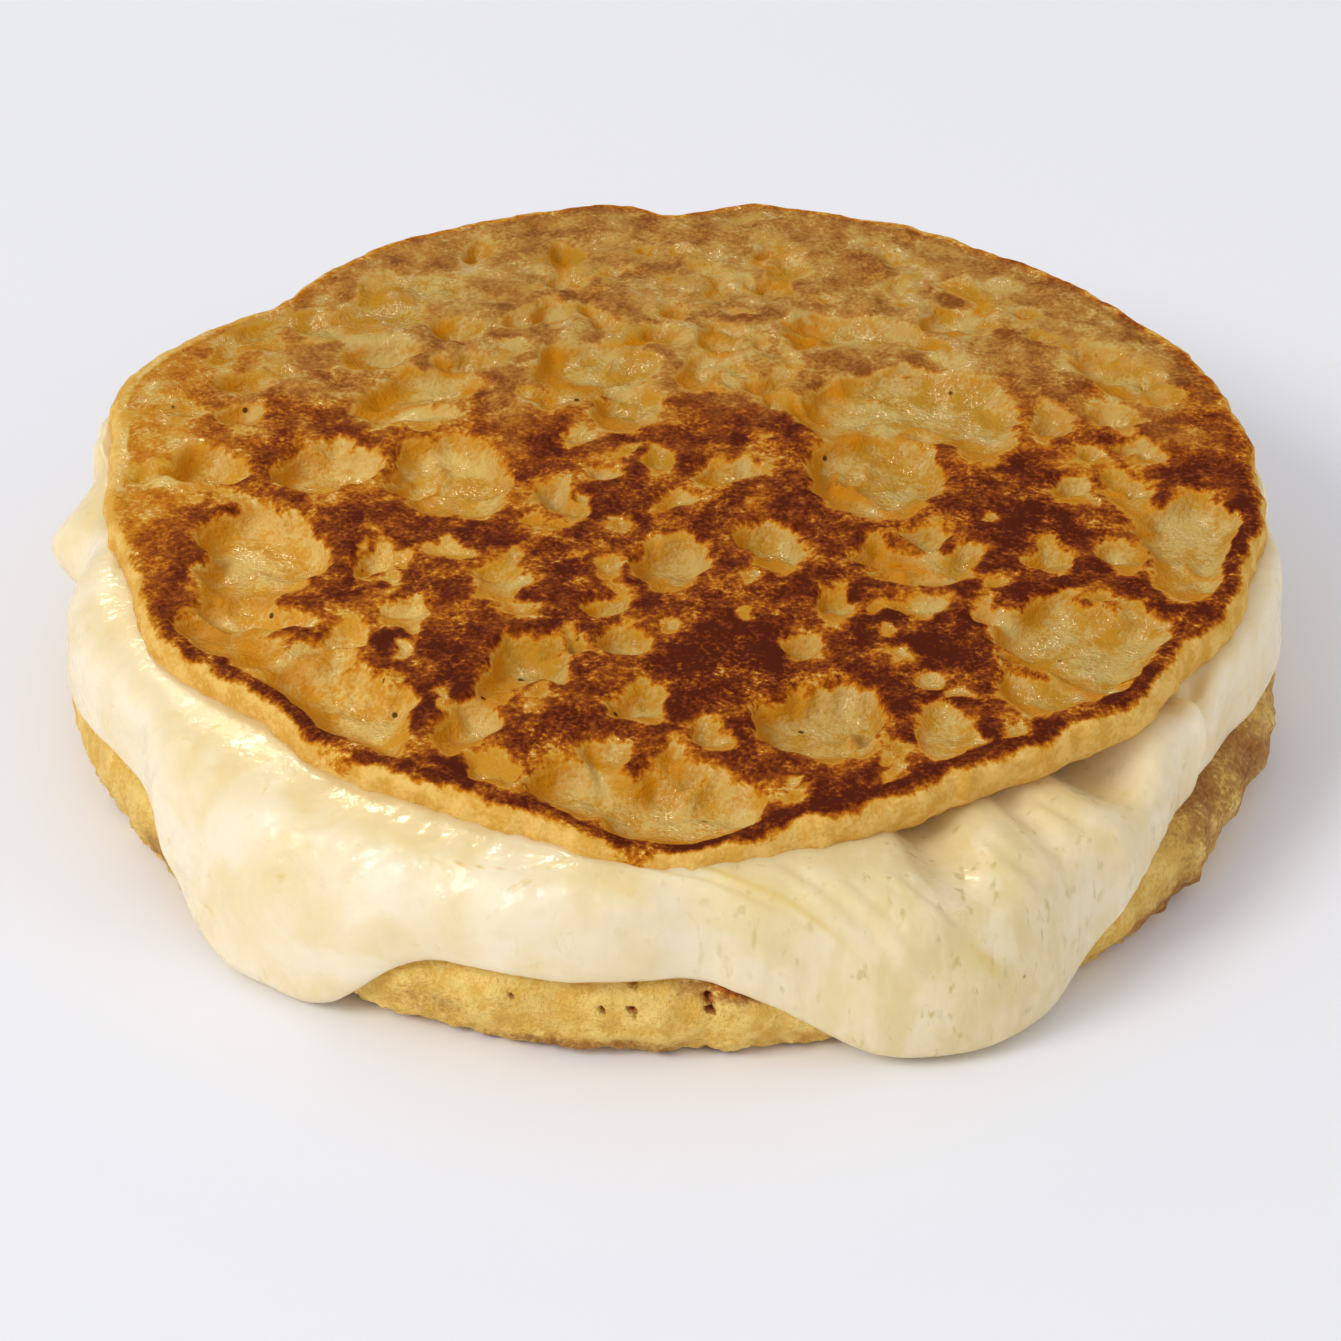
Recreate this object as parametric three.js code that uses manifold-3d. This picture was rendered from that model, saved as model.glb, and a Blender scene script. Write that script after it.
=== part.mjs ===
// A filled corn arepa: two griddled corn cakes with a layer of melted white cheese between them.
// Millimetres, +Z up, standing on z = 0 with the middle of its footprint at the origin.
import * as THREE from "three";
import { mergeVertices } from "three/addons/utils/BufferGeometryUtils.js";
import Module from "manifold-3d";

const wasm = await Module();
wasm.setup();

// Driving dimensions
const sections = 90; // cross sections round each piece
const sideSteps = 5; // steps in each rounding of a cake's side
const crustRings = 22; // rings across the upper cake's hollowed crust
const levelSteps = 2; // rings across a level face
const clearance = 0.5; // free space between neighbouring pieces
const footprintShift = { x: 0.4, y: 0 }; // brings the middle of the whole footprint to the origin

const bottomCake = {
  centre: { x: 0, y: 0 },
  radius: 64.8, // at its widest
  underside: 0,
  middle: 6.4, // height of the widest line
  top: 11,
  roundUnder: 4.3, // width of the side's rounding below the widest line
  roundOver: 6.3, // and above it
  wander: { size: 0.6, seed: 0.7 }, // how far the outline wanders in and out
};

const topCake = {
  centre: { x: 1.0, y: 3.7 },
  radius: 61.7,
  underside: 18.6,
  middle: 22.4,
  top: 25.2, // height where the rim meets the crust
  roundUnder: 7,
  roundOver: 3.4,
  wander: { size: 0.3, seed: 2.3 },
  crown: 0.8, // rise of the middle over the rim
  wave: 0.35, // slow rise and fall of the crust
  waveLength: 12,
};

// Bulges and flats of each cake's outline: where (degrees), how far out, half width (degrees),
// and how far the top sags there
bottomCake.bulges = [
  { at: -152, out: -1.4, spread: 22, sag: 0 },
  { at: -105, out: -0.9, spread: 14, sag: 0 },
  { at: -45, out: 1.1, spread: 16, sag: 0 },
];
topCake.bulges = [
  { at: -91, out: 3.2, spread: 9, sag: 2.0 },
  { at: -137, out: -3.4, spread: 8, sag: 0 },
  { at: -118, out: -1.2, spread: 10, sag: 0 },
  { at: -58, out: -1.8, spread: 10, sag: 0 },
  { at: -31, out: -1.0, spread: 7, sag: 0 },
  { at: -165, out: -1.8, spread: 10, sag: 0 },
  { at: 160, out: 3.4, spread: 9, sag: 0.3 },
  { at: 138, out: -2.4, spread: 7, sag: 0 },
  { at: 90, out: -2.8, spread: 4, sag: 0 },
  { at: 25, out: 1.0, spread: 22, sag: 0 },
];

const cheese = {
  reach: 61.6, // outermost radius where nothing runs over the edge
  drape: 2.4, // how far its edge lies down the lower cake's shoulder, along the surface
  tuck: 0.6, // how far in from the upper cake's outline its free surface starts
  rise: 2.4, // how far up the rim it presses
  lip: 1.6, // least thickness of its edge, off the lower cake
  bellyRise: 0.3, // height of the fullest point, as a part of the free surface's height
  fullness: 0.5, // how squarely the free surface rounds over
  footShare: 0.85, // how far out its foot stands, from the lower cake to the fullest point
};

// Tongues of cheese over the lower cake: where, falls off clockwise and anticlockwise over (degrees),
// how far each hangs down the lower cake along the surface, and how far it stands out
const tongues = [
  { at: -64, before: 15, after: 17, drape: 20, reach: 9.8 },
  { at: -98, before: 18, after: 13, drape: 1.8, reach: 4.2 },
  { at: -128, before: 14, after: 11, drape: 20, reach: 6.2 },
  { at: -168, before: 8, after: 14, drape: 2.6, reach: 3.2 },
  { at: 172, before: 5, after: 6, drape: 0.9, reach: 5.2 },
  { at: -4, before: 8, after: 14, drape: 3.4, reach: 3.6 },
  { at: 62, before: 20, after: 18, drape: 2.0, reach: 2.8 },
  { at: 112, before: 16, after: 20, drape: 2.4, reach: 2.6 },
];

// Hollows of the upper crust that stayed off the griddle:
// x and y of the middle, half length, half width, turn of the length from +X (degrees), depth
const hollows = [
  [23, 4, 10, 8.5, 90, 2.0],
  [27, 17, 11, 8.5, 0, 1.5],
  [-42, -12, 10, 7.5, 90, 2.3],
  [-42, -25, 7.5, 5.5, -40, 1.8],
  [-32.5, -35, 10, 6, 115, 2.4],
  [41, -27, 11, 8.5, 35, 1.8],
  [36, -38, 6, 4.5, 20, 1.3],
  [53, -9, 9.5, 6.5, 90, 1.5],
  [15.5, -41, 8, 7, 90, 2.3],
  [-8, -51, 7, 4.5, 20, 2.0],
  [1, -53, 8, 6, 0, 2.3],
  [-23.5, 4, 9.5, 6.8, 100, 2.0],
  [-37, 5.5, 5.5, 5.3, 0, 2.2],
  [-49.5, 5.5, 6.5, 4, 95, 2.0],
  [-28.5, 20, 7.5, 5, 0, 1.7],
  [0, -12.5, 6.3, 4.4, 90, 2.0],
  [26, -11.5, 7.5, 5.5, -10, 1.8],
  [11, -10, 5.5, 3.5, 110, 1.8],
  [-13, -1.5, 5.5, 3.8, 90, 2.0],
  [-29.5, -13, 6, 4.2, 70, 1.7],
  [-14, -32, 7.5, 4.5, 80, 1.9],
  [-19, -41.5, 5.5, 4.2, 70, 1.8],
  [-8, 21, 9, 6.5, 120, 1.6],
  [6.5, 3, 6, 3.5, 30, 1.5],
  [-4.5, -27, 5, 3.2, 0, 1.8],
  [-3, -38, 4.4, 3.2, 90, 1.8],
  [21, 34, 7.5, 4, 0, 1.3],
  [-33, 29.5, 5, 3.8, 0, 1.5],
  [49, 25, 6, 4, 120, 1.2],
  [33, 37, 4.5, 3.8, 0, 1.2],
];
const hollowFloor = 0.55; // part of a hollow's half width that is its level floor

const colours = { corn: 0xd9a84e, cheese: 0xf6eed8 };

// Signed angle from one bearing to another, in degrees, -180 to 180
function bearing(angle, from) {
  return ((((angle - from + 180) % 360) + 360) % 360) - 180;
}

// Slow wander of an outline: a few waves whose phases come from the seed
function wander(angle, { size, seed }) {
  const waves = [3, 5, 7, 11];
  const turn = THREE.MathUtils.degToRad(angle);
  const sum = waves.reduce((total, n) => total + Math.sin(n * turn + seed * n * n), 0);
  return (size * sum) / waves.length;
}

// Sum of a cake's bell-shaped bulges at a bearing, read from one of their fields
function bulge(cake, angle, field) {
  const bell = (b) => b[field] * Math.exp(-((bearing(angle, b.at) / b.spread) ** 2));
  return cake.bulges.reduce((total, b) => total + bell(b), 0);
}

// Tongues at a bearing, merged so that the strongest one leads
function tongue(angle, field) {
  const power = 4;
  const total = tongues.reduce((sum, t) => {
    const off = bearing(angle, t.at);
    const width = off < 0 ? t.before : t.after;
    return sum + (t[field] * Math.exp(-((off / width) ** 2))) ** power;
  }, 0);
  return total ** (1 / power);
}

// Depth of the hollows at a place on the upper crust
function hollowDepth(x, y) {
  return hollows.reduce((deepest, [cx, cy, length, width, turn, depth]) => {
    const a = THREE.MathUtils.degToRad(turn);
    const along = (x - cx) * Math.cos(a) + (y - cy) * Math.sin(a);
    const across = (y - cy) * Math.cos(a) - (x - cx) * Math.sin(a);
    const distance = Math.hypot(along / length, across / width);
    return Math.max(deepest, depth * (1 - THREE.MathUtils.smoothstep(distance, hollowFloor, 1)));
  }, 0);
}

// A cake's outline at its widest, measured from its own centre
function outline(cake, angle) {
  return cake.radius + bulge(cake, angle, "out") + wander(angle, cake.wander);
}

// Rounded side of a cake at a bearing, from its underside up to its top, or a surface off it
function roundedSide(cake, angle, off = 0) {
  const radius = outline(cake, angle);
  const widestHeight = cake.middle - bulge(cake, angle, "sag");
  const quarter = (width, height, i) => {
    const turn = (Math.PI / 2) * (i / sideSteps);
    const out = radius - width + (width + off) * Math.cos(turn);
    const up = (height + off * Math.sign(height)) * Math.sin(turn);
    return new THREE.Vector2(out, widestHeight + up);
  };
  const drop = cake.underside - widestHeight;
  const lift = cake.top - cake.middle;
  const under = Array.from({ length: sideSteps }, (_, i) => quarter(cake.roundUnder, drop, sideSteps - i));
  const over = Array.from({ length: sideSteps + 1 }, (_, i) => quarter(cake.roundOver, lift, i));
  return [...under, ...over];
}

// Evenly spaced level rings from the axis out to a ring, the ring itself left out
function levelRings(ring) {
  const at = (_, i) => new THREE.Vector2((ring.x * i) / levelSteps, ring.y);
  return Array.from({ length: levelSteps }, at);
}

// A plain cake from the middle of its underside to the middle of its top, or a surface off it
function plainSection(cake, angle, off = 0) {
  const side = roundedSide(cake, angle, off);
  return [...levelRings(side[0]), ...side, ...levelRings(side.at(-1)).reverse()];
}

// Height of the upper crust at a place, with its crown, slow waves, sagging rim and hollows
function crustHeight(r, angle) {
  const { centre, top, roundOver, crown, wave, waveLength } = topCake;
  const a = THREE.MathUtils.degToRad(angle);
  const x = centre.x + r * Math.cos(a);
  const y = centre.y + r * Math.sin(a);
  const share = r / (outline(topCake, angle) - roundOver);
  const dome = crown * (1 - share ** 2) - bulge(topCake, angle, "sag") * share ** 6;
  const swell = wave * Math.sin(x / waveLength) * Math.cos(y / waveLength) * (1 - share ** 4);
  return top + dome + swell - hollowDepth(x, y);
}

// Upper cake from the middle of its underside, round its rim and in over the hollowed crust
function crustedSection(angle) {
  const rim = roundedSide(topCake, angle);
  const crust = Array.from({ length: crustRings }, (_, i) => {
    const r = rim.at(-1).x * (1 - (i + 1) / crustRings);
    return new THREE.Vector2(r, crustHeight(r, angle));
  });
  return [...levelRings(rim[0]), ...rim, ...crust];
}

// Melted cheese before the cakes press into it: its level underside, its edge at the end of each
// tongue, its free surface up under the upper cake's rim, and its level top
function meltSection(angle) {
  const shoulder = roundedSide(bottomCake, angle, clearance).reverse();
  const seat = new THREE.SplineCurve(shoulder);
  const hang = cheese.drape + tongue(angle, "drape");
  const edge = seat.getPointAt(Math.min(hang / seat.getLength(), 1));
  edge.y = Math.max(edge.y, bottomCake.underside);
  const covered = edge.y < bottomCake.middle ? outline(bottomCake, angle) + clearance : edge.x;

  const a = THREE.MathUtils.degToRad(angle);
  const offCentre = topCake.centre.x * Math.cos(a) + topCake.centre.y * Math.sin(a);
  const roof = topCake.underside + cheese.rise;
  const rim = new THREE.Vector2(outline(topCake, angle) + offCentre - cheese.tuck, roof);

  const reach = Math.max(cheese.reach + tongue(angle, "reach"), covered + cheese.lip, rim.x + cheese.lip);
  const belly = new THREE.Vector2(reach, THREE.MathUtils.lerp(edge.y, roof, cheese.bellyRise));
  const free = new THREE.CubicBezierCurve(
    rim,
    new THREE.Vector2(THREE.MathUtils.lerp(rim.x, reach, cheese.fullness), roof),
    new THREE.Vector2(reach, THREE.MathUtils.lerp(belly.y, roof, cheese.fullness)),
    belly,
  );
  const foot = new THREE.Vector2(THREE.MathUtils.lerp(edge.x, reach, cheese.footShare), edge.y);
  const lip = new THREE.QuadraticBezierCurve(belly, new THREE.Vector2(reach, edge.y), foot);
  const freeSteps = 7;
  const lipSteps = 3;
  const skin = [...free.getPoints(freeSteps), ...lip.getPoints(lipSteps).slice(1)].reverse();
  const within = new THREE.Vector2(shoulder[0].x, edge.y);
  return [new THREE.Vector2(0, edge.y), within, ...skin, new THREE.Vector2(0, roof)];
}

// Spins a cross section that changes with its bearing into one closed skin about a centre
function spin(sectionAt, centre) {
  const first = sectionAt(0);
  const axisHeights = [first[0].y, first.at(-1).y];
  const geometry = new THREE.LatheGeometry(first, sections);
  const places = geometry.getAttribute("position");
  for (let turn = 0; turn <= sections; turn++) {
    const angle = (360 * (turn % sections)) / sections;
    const a = THREE.MathUtils.degToRad(angle);
    sectionAt(angle).forEach((point, i, section) => {
      const x = centre.x + point.x * Math.cos(a);
      const y = centre.y + point.x * Math.sin(a);
      const onAxis = { 0: axisHeights[0], [section.length - 1]: axisHeights[1] };
      places.setXYZ(turn * section.length + i, x, y, onAxis[i] ?? point.y);
    });
  }
  geometry.computeVertexNormals();
  return geometry;
}

// A closed skin as a solid that can be cut
function solidOf(geometry) {
  const bare = geometry.clone();
  bare.deleteAttribute("normal");
  bare.deleteAttribute("uv");
  const merged = mergeVertices(bare, 1e-3);
  const vertProperties = merged.getAttribute("position").array;
  const triVerts = new Uint32Array(merged.index.array);
  return new wasm.Manifold(new wasm.Mesh({ numProp: 3, vertProperties, triVerts }));
}

// The skin of a cut solid
function skinOf(solid) {
  const { vertProperties, triVerts } = solid.getMesh();
  const geometry = new THREE.BufferGeometry();
  geometry.setAttribute("position", new THREE.BufferAttribute(vertProperties, 3));
  geometry.setIndex(new THREE.BufferAttribute(triVerts, 1));
  geometry.computeVertexNormals();
  return geometry;
}

// Cheese pressed between the two cakes, each of which leaves its own room in it
function pressedCheese() {
  const melt = solidOf(spin(meltSection, bottomCake.centre));
  const room = (cake) => solidOf(spin((angle) => plainSection(cake, angle, clearance), cake.centre));
  return skinOf(melt.subtract(room(bottomCake)).subtract(room(topCake)));
}

function piece(name, geometry, color, roughness) {
  const material = new THREE.MeshStandardMaterial({ color, roughness, metalness: 0 });
  const mesh = new THREE.Mesh(geometry, material);
  mesh.name = name;
  return mesh;
}

const plainCake = spin((angle) => plainSection(bottomCake, angle), bottomCake.centre);
const crustedCake = spin(crustedSection, topCake.centre);

const arepa = new THREE.Group();
arepa.add(piece("bottom_cake", plainCake, colours.corn, 0.7));
arepa.add(piece("cheese", pressedCheese(), colours.cheese, 0.3));
arepa.add(piece("top_cake", crustedCake, colours.corn, 0.6));
arepa.position.set(footprintShift.x, footprintShift.y, 0);

export default arepa;
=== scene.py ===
import bpy
import itertools
import math
import numpy as np
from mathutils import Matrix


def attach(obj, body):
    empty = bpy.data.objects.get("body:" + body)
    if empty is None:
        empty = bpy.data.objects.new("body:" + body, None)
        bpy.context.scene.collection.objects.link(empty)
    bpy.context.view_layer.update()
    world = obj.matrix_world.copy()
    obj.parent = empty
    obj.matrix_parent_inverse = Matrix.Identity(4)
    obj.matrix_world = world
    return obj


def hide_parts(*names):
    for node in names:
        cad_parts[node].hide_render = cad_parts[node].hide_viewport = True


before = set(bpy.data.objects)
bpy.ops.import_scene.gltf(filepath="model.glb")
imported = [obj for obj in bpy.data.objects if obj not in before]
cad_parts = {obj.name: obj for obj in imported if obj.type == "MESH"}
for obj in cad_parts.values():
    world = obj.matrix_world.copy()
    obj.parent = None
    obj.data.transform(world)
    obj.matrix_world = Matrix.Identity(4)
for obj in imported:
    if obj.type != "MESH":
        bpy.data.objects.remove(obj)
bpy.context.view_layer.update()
print("frame loaded:", ", ".join(sorted(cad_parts)))

mm = 0.001  # sizes below are in millimetres, meshes in metres
stackShift = np.array([0.4, 0.0, 0.0])  # from the lower cake's middle to the part's origin

latticeNoise = {
    "seedStep": 7919,
    "seedStart": 17,
    "scramble": 0x45d9f3b,  # odd factor that mixes up a cell's number
    "gain": 1.7,  # brings the values to about -1 to 1
}


# noise on a lattice, the same on every run
def noiseAt(points, size, seed):
    scaled = np.asarray(points) / size
    cell = np.floor(scaled).astype(np.int64)
    inside = scaled - cell
    fade = inside ** 3 * (inside * (inside * 6 - 15) + 10)
    total = np.zeros(len(scaled))
    for corner in itertools.product((0, 1), repeat=3):
        at = cell + corner
        mixed = np.full(len(at), seed * latticeNoise["seedStep"] + latticeNoise["seedStart"])
        for axis in (0, 1, 2, 0):
            mixed = (mixed ^ at[:, axis]) * latticeNoise["scramble"] & 0xffffffff
            mixed = mixed ^ (mixed >> 16)
        turn = (mixed & 0xffff) / 0x10000 * 2 * math.pi
        rise = (mixed >> 16) / 0x8000 - 1
        flat = np.sqrt(1 - rise ** 2)
        gradient = np.stack([flat * np.cos(turn), flat * np.sin(turn), rise], axis=1)
        weight = np.where(corner, fade, 1 - fade).prod(axis=1)
        total += weight * (gradient * (inside - corner)).sum(axis=1)
    return total * latticeNoise["gain"]


def layeredNoise(points, size, seed, layers=3):
    sizes = [size * 0.5 ** i for i in range(layers)]
    return sum(noiseAt(points, s, seed + i) * s / size for i, s in enumerate(sizes))


# one row of relief: noise size in mm, seed, layers, height
def reliefAt(points, row):
    size, seed, layers, height = row
    return layeredNoise(points, size, seed, layers) * height


# relief that changes with a share from 0 to 1: the height at 0 and what is added at 1
def changingRelief(points, share, rows):
    return sum(layeredNoise(points, size, seed, layers) * (height + added * share)
               for size, seed, layers, height, added in rows)


def smoothStep(low, high, value):
    t = np.clip((value - low) / (high - low), 0, 1)
    return t * t * (3 - 2 * t)


def wrapDegrees(angle):
    return (np.asarray(angle) + 180) % 360 - 180


def bell(angle, at, spread):
    return np.exp(-(wrapDegrees(angle - at) / spread) ** 2)


# a few bells added up: bearing, half width, how much
def bellSum(angle, rows):
    return sum(much * bell(angle, at, spread) for at, spread, much in rows)


# slow wander of an outline, the same waves as in the solids
def wander(angle, size, seed):
    turn = np.radians(angle)
    waves = (3, 5, 7, 11)
    return size * sum(np.sin(n * turn + seed * n * n) for n in waves) / len(waves)


def onBearing(radius, angle, height, centre=(0, 0)):
    turn = np.radians(angle)
    return np.stack([centre[0] + radius * np.cos(turn), centre[1] + radius * np.sin(turn), height], axis=1)


# shapes shared by the two cakes

# the fourth mark is an amber share: partly the batter's own amber, partly painted shade
cakeMarks = ("contact", "toast", "wall", "amberAndShade", "mild", "farShade")
innerMarks = [1.0, 0.25, 0.5, 0.0, 0.0, 0.0]  # the same marks on the face that lies against the cheese
innerShares = (0.66, 0.33)  # rings that close that face, as shares of its radius
raggedness = [(7.0, 1.2), (3.0, 0.9), (1.4, 0.4)]  # noise size and push on a blister's outline, mm


def outlineOf(cake, angle):
    bulges = bellSum(angle, cake["bulges"])
    circle = onBearing(np.full(len(angle), cake["radius"]), angle, np.zeros(len(angle)))
    ragged = layeredNoise(circle, cake["raggedLength"], cake["seed"]) * cake["ragged"]
    return cake["radius"] + bulges + wander(angle, *cake["wander"]) + ragged


# a cake's rounded side, out and up from its widest line, for a turn from one face (0) to the other (pi)
def roundedSide(turn, width, tall, square):
    out = width * np.sin(turn) ** square - width
    up = tall * np.sign(np.cos(turn)) * np.abs(np.cos(turn)) ** square
    return out, up


# square grid pressed onto a disc: radius share, bearing, faces and the rim's vertices in order
def discGrid(count):
    line = np.linspace(-1, 1, count + 1)
    a, b = np.meshgrid(line, line, indexing="ij")
    wide = np.abs(a) > np.abs(b)
    safeA = np.where(a == 0, 1, a)
    safeB = np.where(b == 0, 1, b)
    turn = np.where(wide, math.pi / 4 * b / safeA, math.pi / 2 - math.pi / 4 * a / safeB)
    reach = np.where(wide, a, b)
    x, y = reach * np.cos(turn), reach * np.sin(turn)
    index = np.arange((count + 1) ** 2).reshape(count + 1, count + 1)
    corners = (index[:-1, :-1], index[1:, :-1], index[1:, 1:], index[:-1, 1:])
    faces = np.stack([c.ravel() for c in corners], axis=1)
    edge = np.concatenate([index[-1, :-1], index[::-1, -1][:-1], index[0, ::-1][:-1], index[:, 0][:-1]])
    edge = edge[np.argsort(np.degrees(np.arctan2(y.ravel()[edge], x.ravel()[edge])))]
    return np.hypot(x, y).ravel(), np.degrees(np.arctan2(y, x)).ravel(), faces, edge


# rings of vertices joined one to the next, the last closed with a fan about its middle
def ringFaces(rings, fanTip):
    faces = []
    for near, far in zip(rings[:-1], rings[1:]):
        faces.append(np.stack([near, far, np.roll(far, -1), np.roll(near, -1)], axis=1))
    last = rings[-1]
    tips = np.full(len(last), fanTip)
    fan = np.stack([last, tips, np.roll(last, -1)], axis=1)
    return np.concatenate(faces), fan


# one skin from a cake's griddle face, the rings of its side and its flat inner face:
# face and sides are pairs of points and marks
def closeCake(cake, face, sides, edge, angle, innerEdge, innerHeight):
    count = len(edge)
    level = np.full(count, innerHeight)
    flatMarks = np.tile(innerMarks, (count, 1))
    inner = [(onBearing(innerEdge * part, angle, level, cake["centre"]), flatMarks) for part in innerShares]
    tip = ([[*cake["centre"], innerHeight]], [innerMarks])
    layers = [face, *sides, *inner, tip]
    points = np.concatenate([layer[0] for layer in layers])
    marks = np.concatenate([layer[1] for layer in layers])
    starts = len(face[0]) + count * np.arange(len(sides) + len(inner))
    rings = [edge, *(np.arange(count) + start for start in starts)]
    tube, fan = ringFaces(rings, len(points) - 1)
    return points, tube, fan, dict(zip(cakeMarks, marks.T))


def addToScene(name, data):
    made = bpy.data.objects.new(name, data)
    bpy.context.scene.collection.objects.link(made)
    return made


def makePiece(name, points, faceSets, marks, node, material):
    mesh = bpy.data.meshes.new(name)
    faces = [tuple(face) for faceSet in faceSets for face in faceSet.tolist()]
    mesh.from_pydata(((points + stackShift) * mm).tolist(), [], faces)
    for mark, values in marks.items():
        layer = mesh.attributes.new(mark, "FLOAT", "POINT")
        layer.data.foreach_set("value", np.asarray(values, dtype=np.float32))
    mesh.shade_smooth()
    mesh.materials.append(material)
    mesh.update()
    piece = addToScene(name, mesh)
    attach(piece, "root")
    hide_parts(node)
    triangles = sum(len(face) - 2 for face in faces)
    print(f"{name}: {len(points)} points, {triangles} triangles")
    return piece


# blisters, the same rules for both cakes
blisterShape = {
    "join": 2.5,  # how sharply neighbouring blisters run together, per mm
    "farOff": 14.0,  # over join: how far outside a place counts as, at most
    "cutOff": 8.0,  # how far inside or outside one blister counts, mm
    "litSide": (0.9, 0.42),  # x and y of the side whose walls face the light
    "wallStart": 0.1,
    "litLonger": 0.35,  # how much longer a wall on the lit side runs, and one at the front
    "frontLonger": 1.6,
    "shadeFrom": 0.3,  # where a wall's painted shade starts to fade, and where it ends
    "shadeTo": 1.6,
    "darkShade": 2.6,  # how much further that painted shade goes on the dark side, and at the front
    "frontShade": 1.4,
    "fullDepth": 1.4,  # depth from which a wall gets its full painted shade
    "facing": (0.35, -0.75, 0.35),  # painted shade of any wall, added on the lit side, added at the front
    "frontShallow": 0.35,  # how much shallower a blister is at the front
}


# offsets along and across a direction turned by so many degrees
def turnedOffsets(dx, dy, turn):
    along = math.cos(math.radians(turn))
    across = math.sin(math.radians(turn))
    return dx * along + dy * across, dy * along - dx * across


# how far a place lies inside the blisters (mm, negative outside), their depth there,
# how much the wall is on the lit side and how much at the front
def blisterField(x, y, blisters):
    join = blisterShape["join"]
    cutOff = blisterShape["cutOff"]
    litX, litY = blisterShape["litSide"]
    total = np.full(len(x), math.exp(-blisterShape["farOff"]))
    depths, leans, fronts = np.zeros((3, len(x)))
    for atX, atY, length, width, turn, deep in blisters:
        dx = x - atX
        dy = y - atY
        along, across = turnedOffsets(dx, dy, turn)
        reach = (1 - np.hypot(along / length, across / width)) * min(length, width)
        weight = np.exp(join * np.clip(reach, -cutOff, cutOff))
        away = np.maximum(np.hypot(dx, dy), 0.2)
        total += weight
        depths += weight * deep
        leans += weight * (litX * dx + litY * dy) / away
        fronts -= weight * dy / away
    return np.log(total) / join, depths / total, leans / total, np.clip(fronts / total, 0, 1)


# a blister's wall drops just inside its edge, steeper on the left and gentle at the front:
# depth, and the painted shade its wall gets, most on the side away from the light and at the front
def blisterWalls(inside, deep, lean, front, wall):
    shape = blisterShape
    length = wall * (1 + shape["litLonger"] * lean + shape["frontLonger"] * front)
    run = np.clip((inside - shape["wallStart"]) / length, 0, 1)
    shadeTo = shape["shadeTo"] + shape["darkShade"] * np.clip(-lean, 0, 1) + shape["frontShade"] * front
    paintedShade = (1 - smoothStep(shape["shadeFrom"], shadeTo, inside)) * smoothStep(0.0, 0.4, inside)
    anyWall, litWall, frontWall = shape["facing"]
    facing = np.clip(anyWall + litWall * lean + frontWall * front, 0, 1)
    paintedShade = paintedShade * np.clip(deep / shape["fullDepth"], 0, 1) * facing
    return deep * (1 - shape["frontShallow"] * front) * run * (2 - run), paintedShade


# pushes the blisters' outlines out of round
def raggedWarp(points, seed):
    return sum(noiseAt(points, size, seed + i) * push for i, (size, push) in enumerate(raggedness))


# blisters at random places, the first that fit clear of each other
def scatterBlisters(reach, taken, count, sizes, seed, depths):
    draw = np.random.default_rng(seed)
    shallow, perSize = depths
    found = []
    for size in np.sort(draw.uniform(*sizes, count))[::-1]:
        radius = reach * math.sqrt(draw.uniform())
        turn = draw.uniform(0, 2 * math.pi)
        x = radius * math.cos(turn)
        y = radius * math.sin(turn)
        width = size * draw.uniform(0.6, 0.9)
        blister = (x, y, size, width, draw.uniform(0, 180), shallow + perSize * size)
        if all(math.hypot(x - b[0], y - b[1]) > 0.8 * (size + b[2]) for b in [*taken, *found]):
            found.append(blister)
    return found


# evens out a value over the disc's square grid
def soften(values, count, times=1):
    grid = values.reshape(count + 1, count + 1)
    for axis in (0, 1) * times:
        padded = np.concatenate([grid.take([0], axis), grid, grid.take([-1], axis)], axis)
        size = grid.shape[axis]
        before, after = padded.take(range(size), axis), padded.take(range(2, size + 2), axis)
        grid = (before + 2 * grid + after) / 4
    return grid.ravel()


# strongest of a few oval patches at each place
def patchField(x, y, patches):
    heat = np.zeros(len(x))
    for atX, atY, length, width, turn, hot in patches:
        along, across = turnedOffsets(x - atX, y - atY, turn)
        spread = (along / length) ** 2 + (across / width) ** 2
        heat = np.maximum(heat, hot * np.exp(-spread ** 2))
    return heat


# shader helpers

def hexColor(text):
    parts = [int(text[i:i + 2], 16) / 255 for i in (1, 3, 5)]
    return tuple(p / 12.92 if p <= 0.04045 else ((p + 0.055) / 1.055) ** 2.4 for p in parts) + (1.0,)


def addNode(tree, kind, settings=None, inputs=None):
    made = tree.nodes.new(kind)
    for key, value in (settings or {}).items():
        setattr(made, key, value)
    for key, value in (inputs or {}).items():
        if isinstance(value, bpy.types.NodeSocket):
            tree.links.new(value, made.inputs[key])
        else:
            made.inputs[key].default_value = value
    return made


def addMath(tree, operation, first, second=0.0, third=None):
    inputs = {0: first, 1: second}
    if third is not None:
        inputs[2] = third
    return addNode(tree, "ShaderNodeMath", {"operation": operation}, inputs).outputs[0]


def addMix(tree, share, first, second, blend="MIX"):
    settings = {"data_type": "RGBA", "blend_type": blend, "clamp_factor": True}
    return addNode(tree, "ShaderNodeMix", settings, {0: share, 6: first, 7: second}).outputs[2]


def addRange(tree, value, low, high, toLow=0.0, toHigh=1.0):
    inputs = {"Value": value, "From Min": low, "From Max": high, "To Min": toLow, "To Max": toHigh}
    return addNode(tree, "ShaderNodeMapRange", {"interpolation_type": "SMOOTHSTEP"}, inputs).outputs[0]


def addPlace(tree):
    return addNode(tree, "ShaderNodeTexCoord").outputs["Object"]


def addNoise(tree, place, size, detail=3.0, rough=0.5, distortion=0.0):
    inputs = {"Vector": place, "Scale": 1 / (size * mm), "Detail": detail, "Roughness": rough,
              "Distortion": distortion}
    return addNode(tree, "ShaderNodeTexNoise", {}, inputs).outputs["Fac"]


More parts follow.
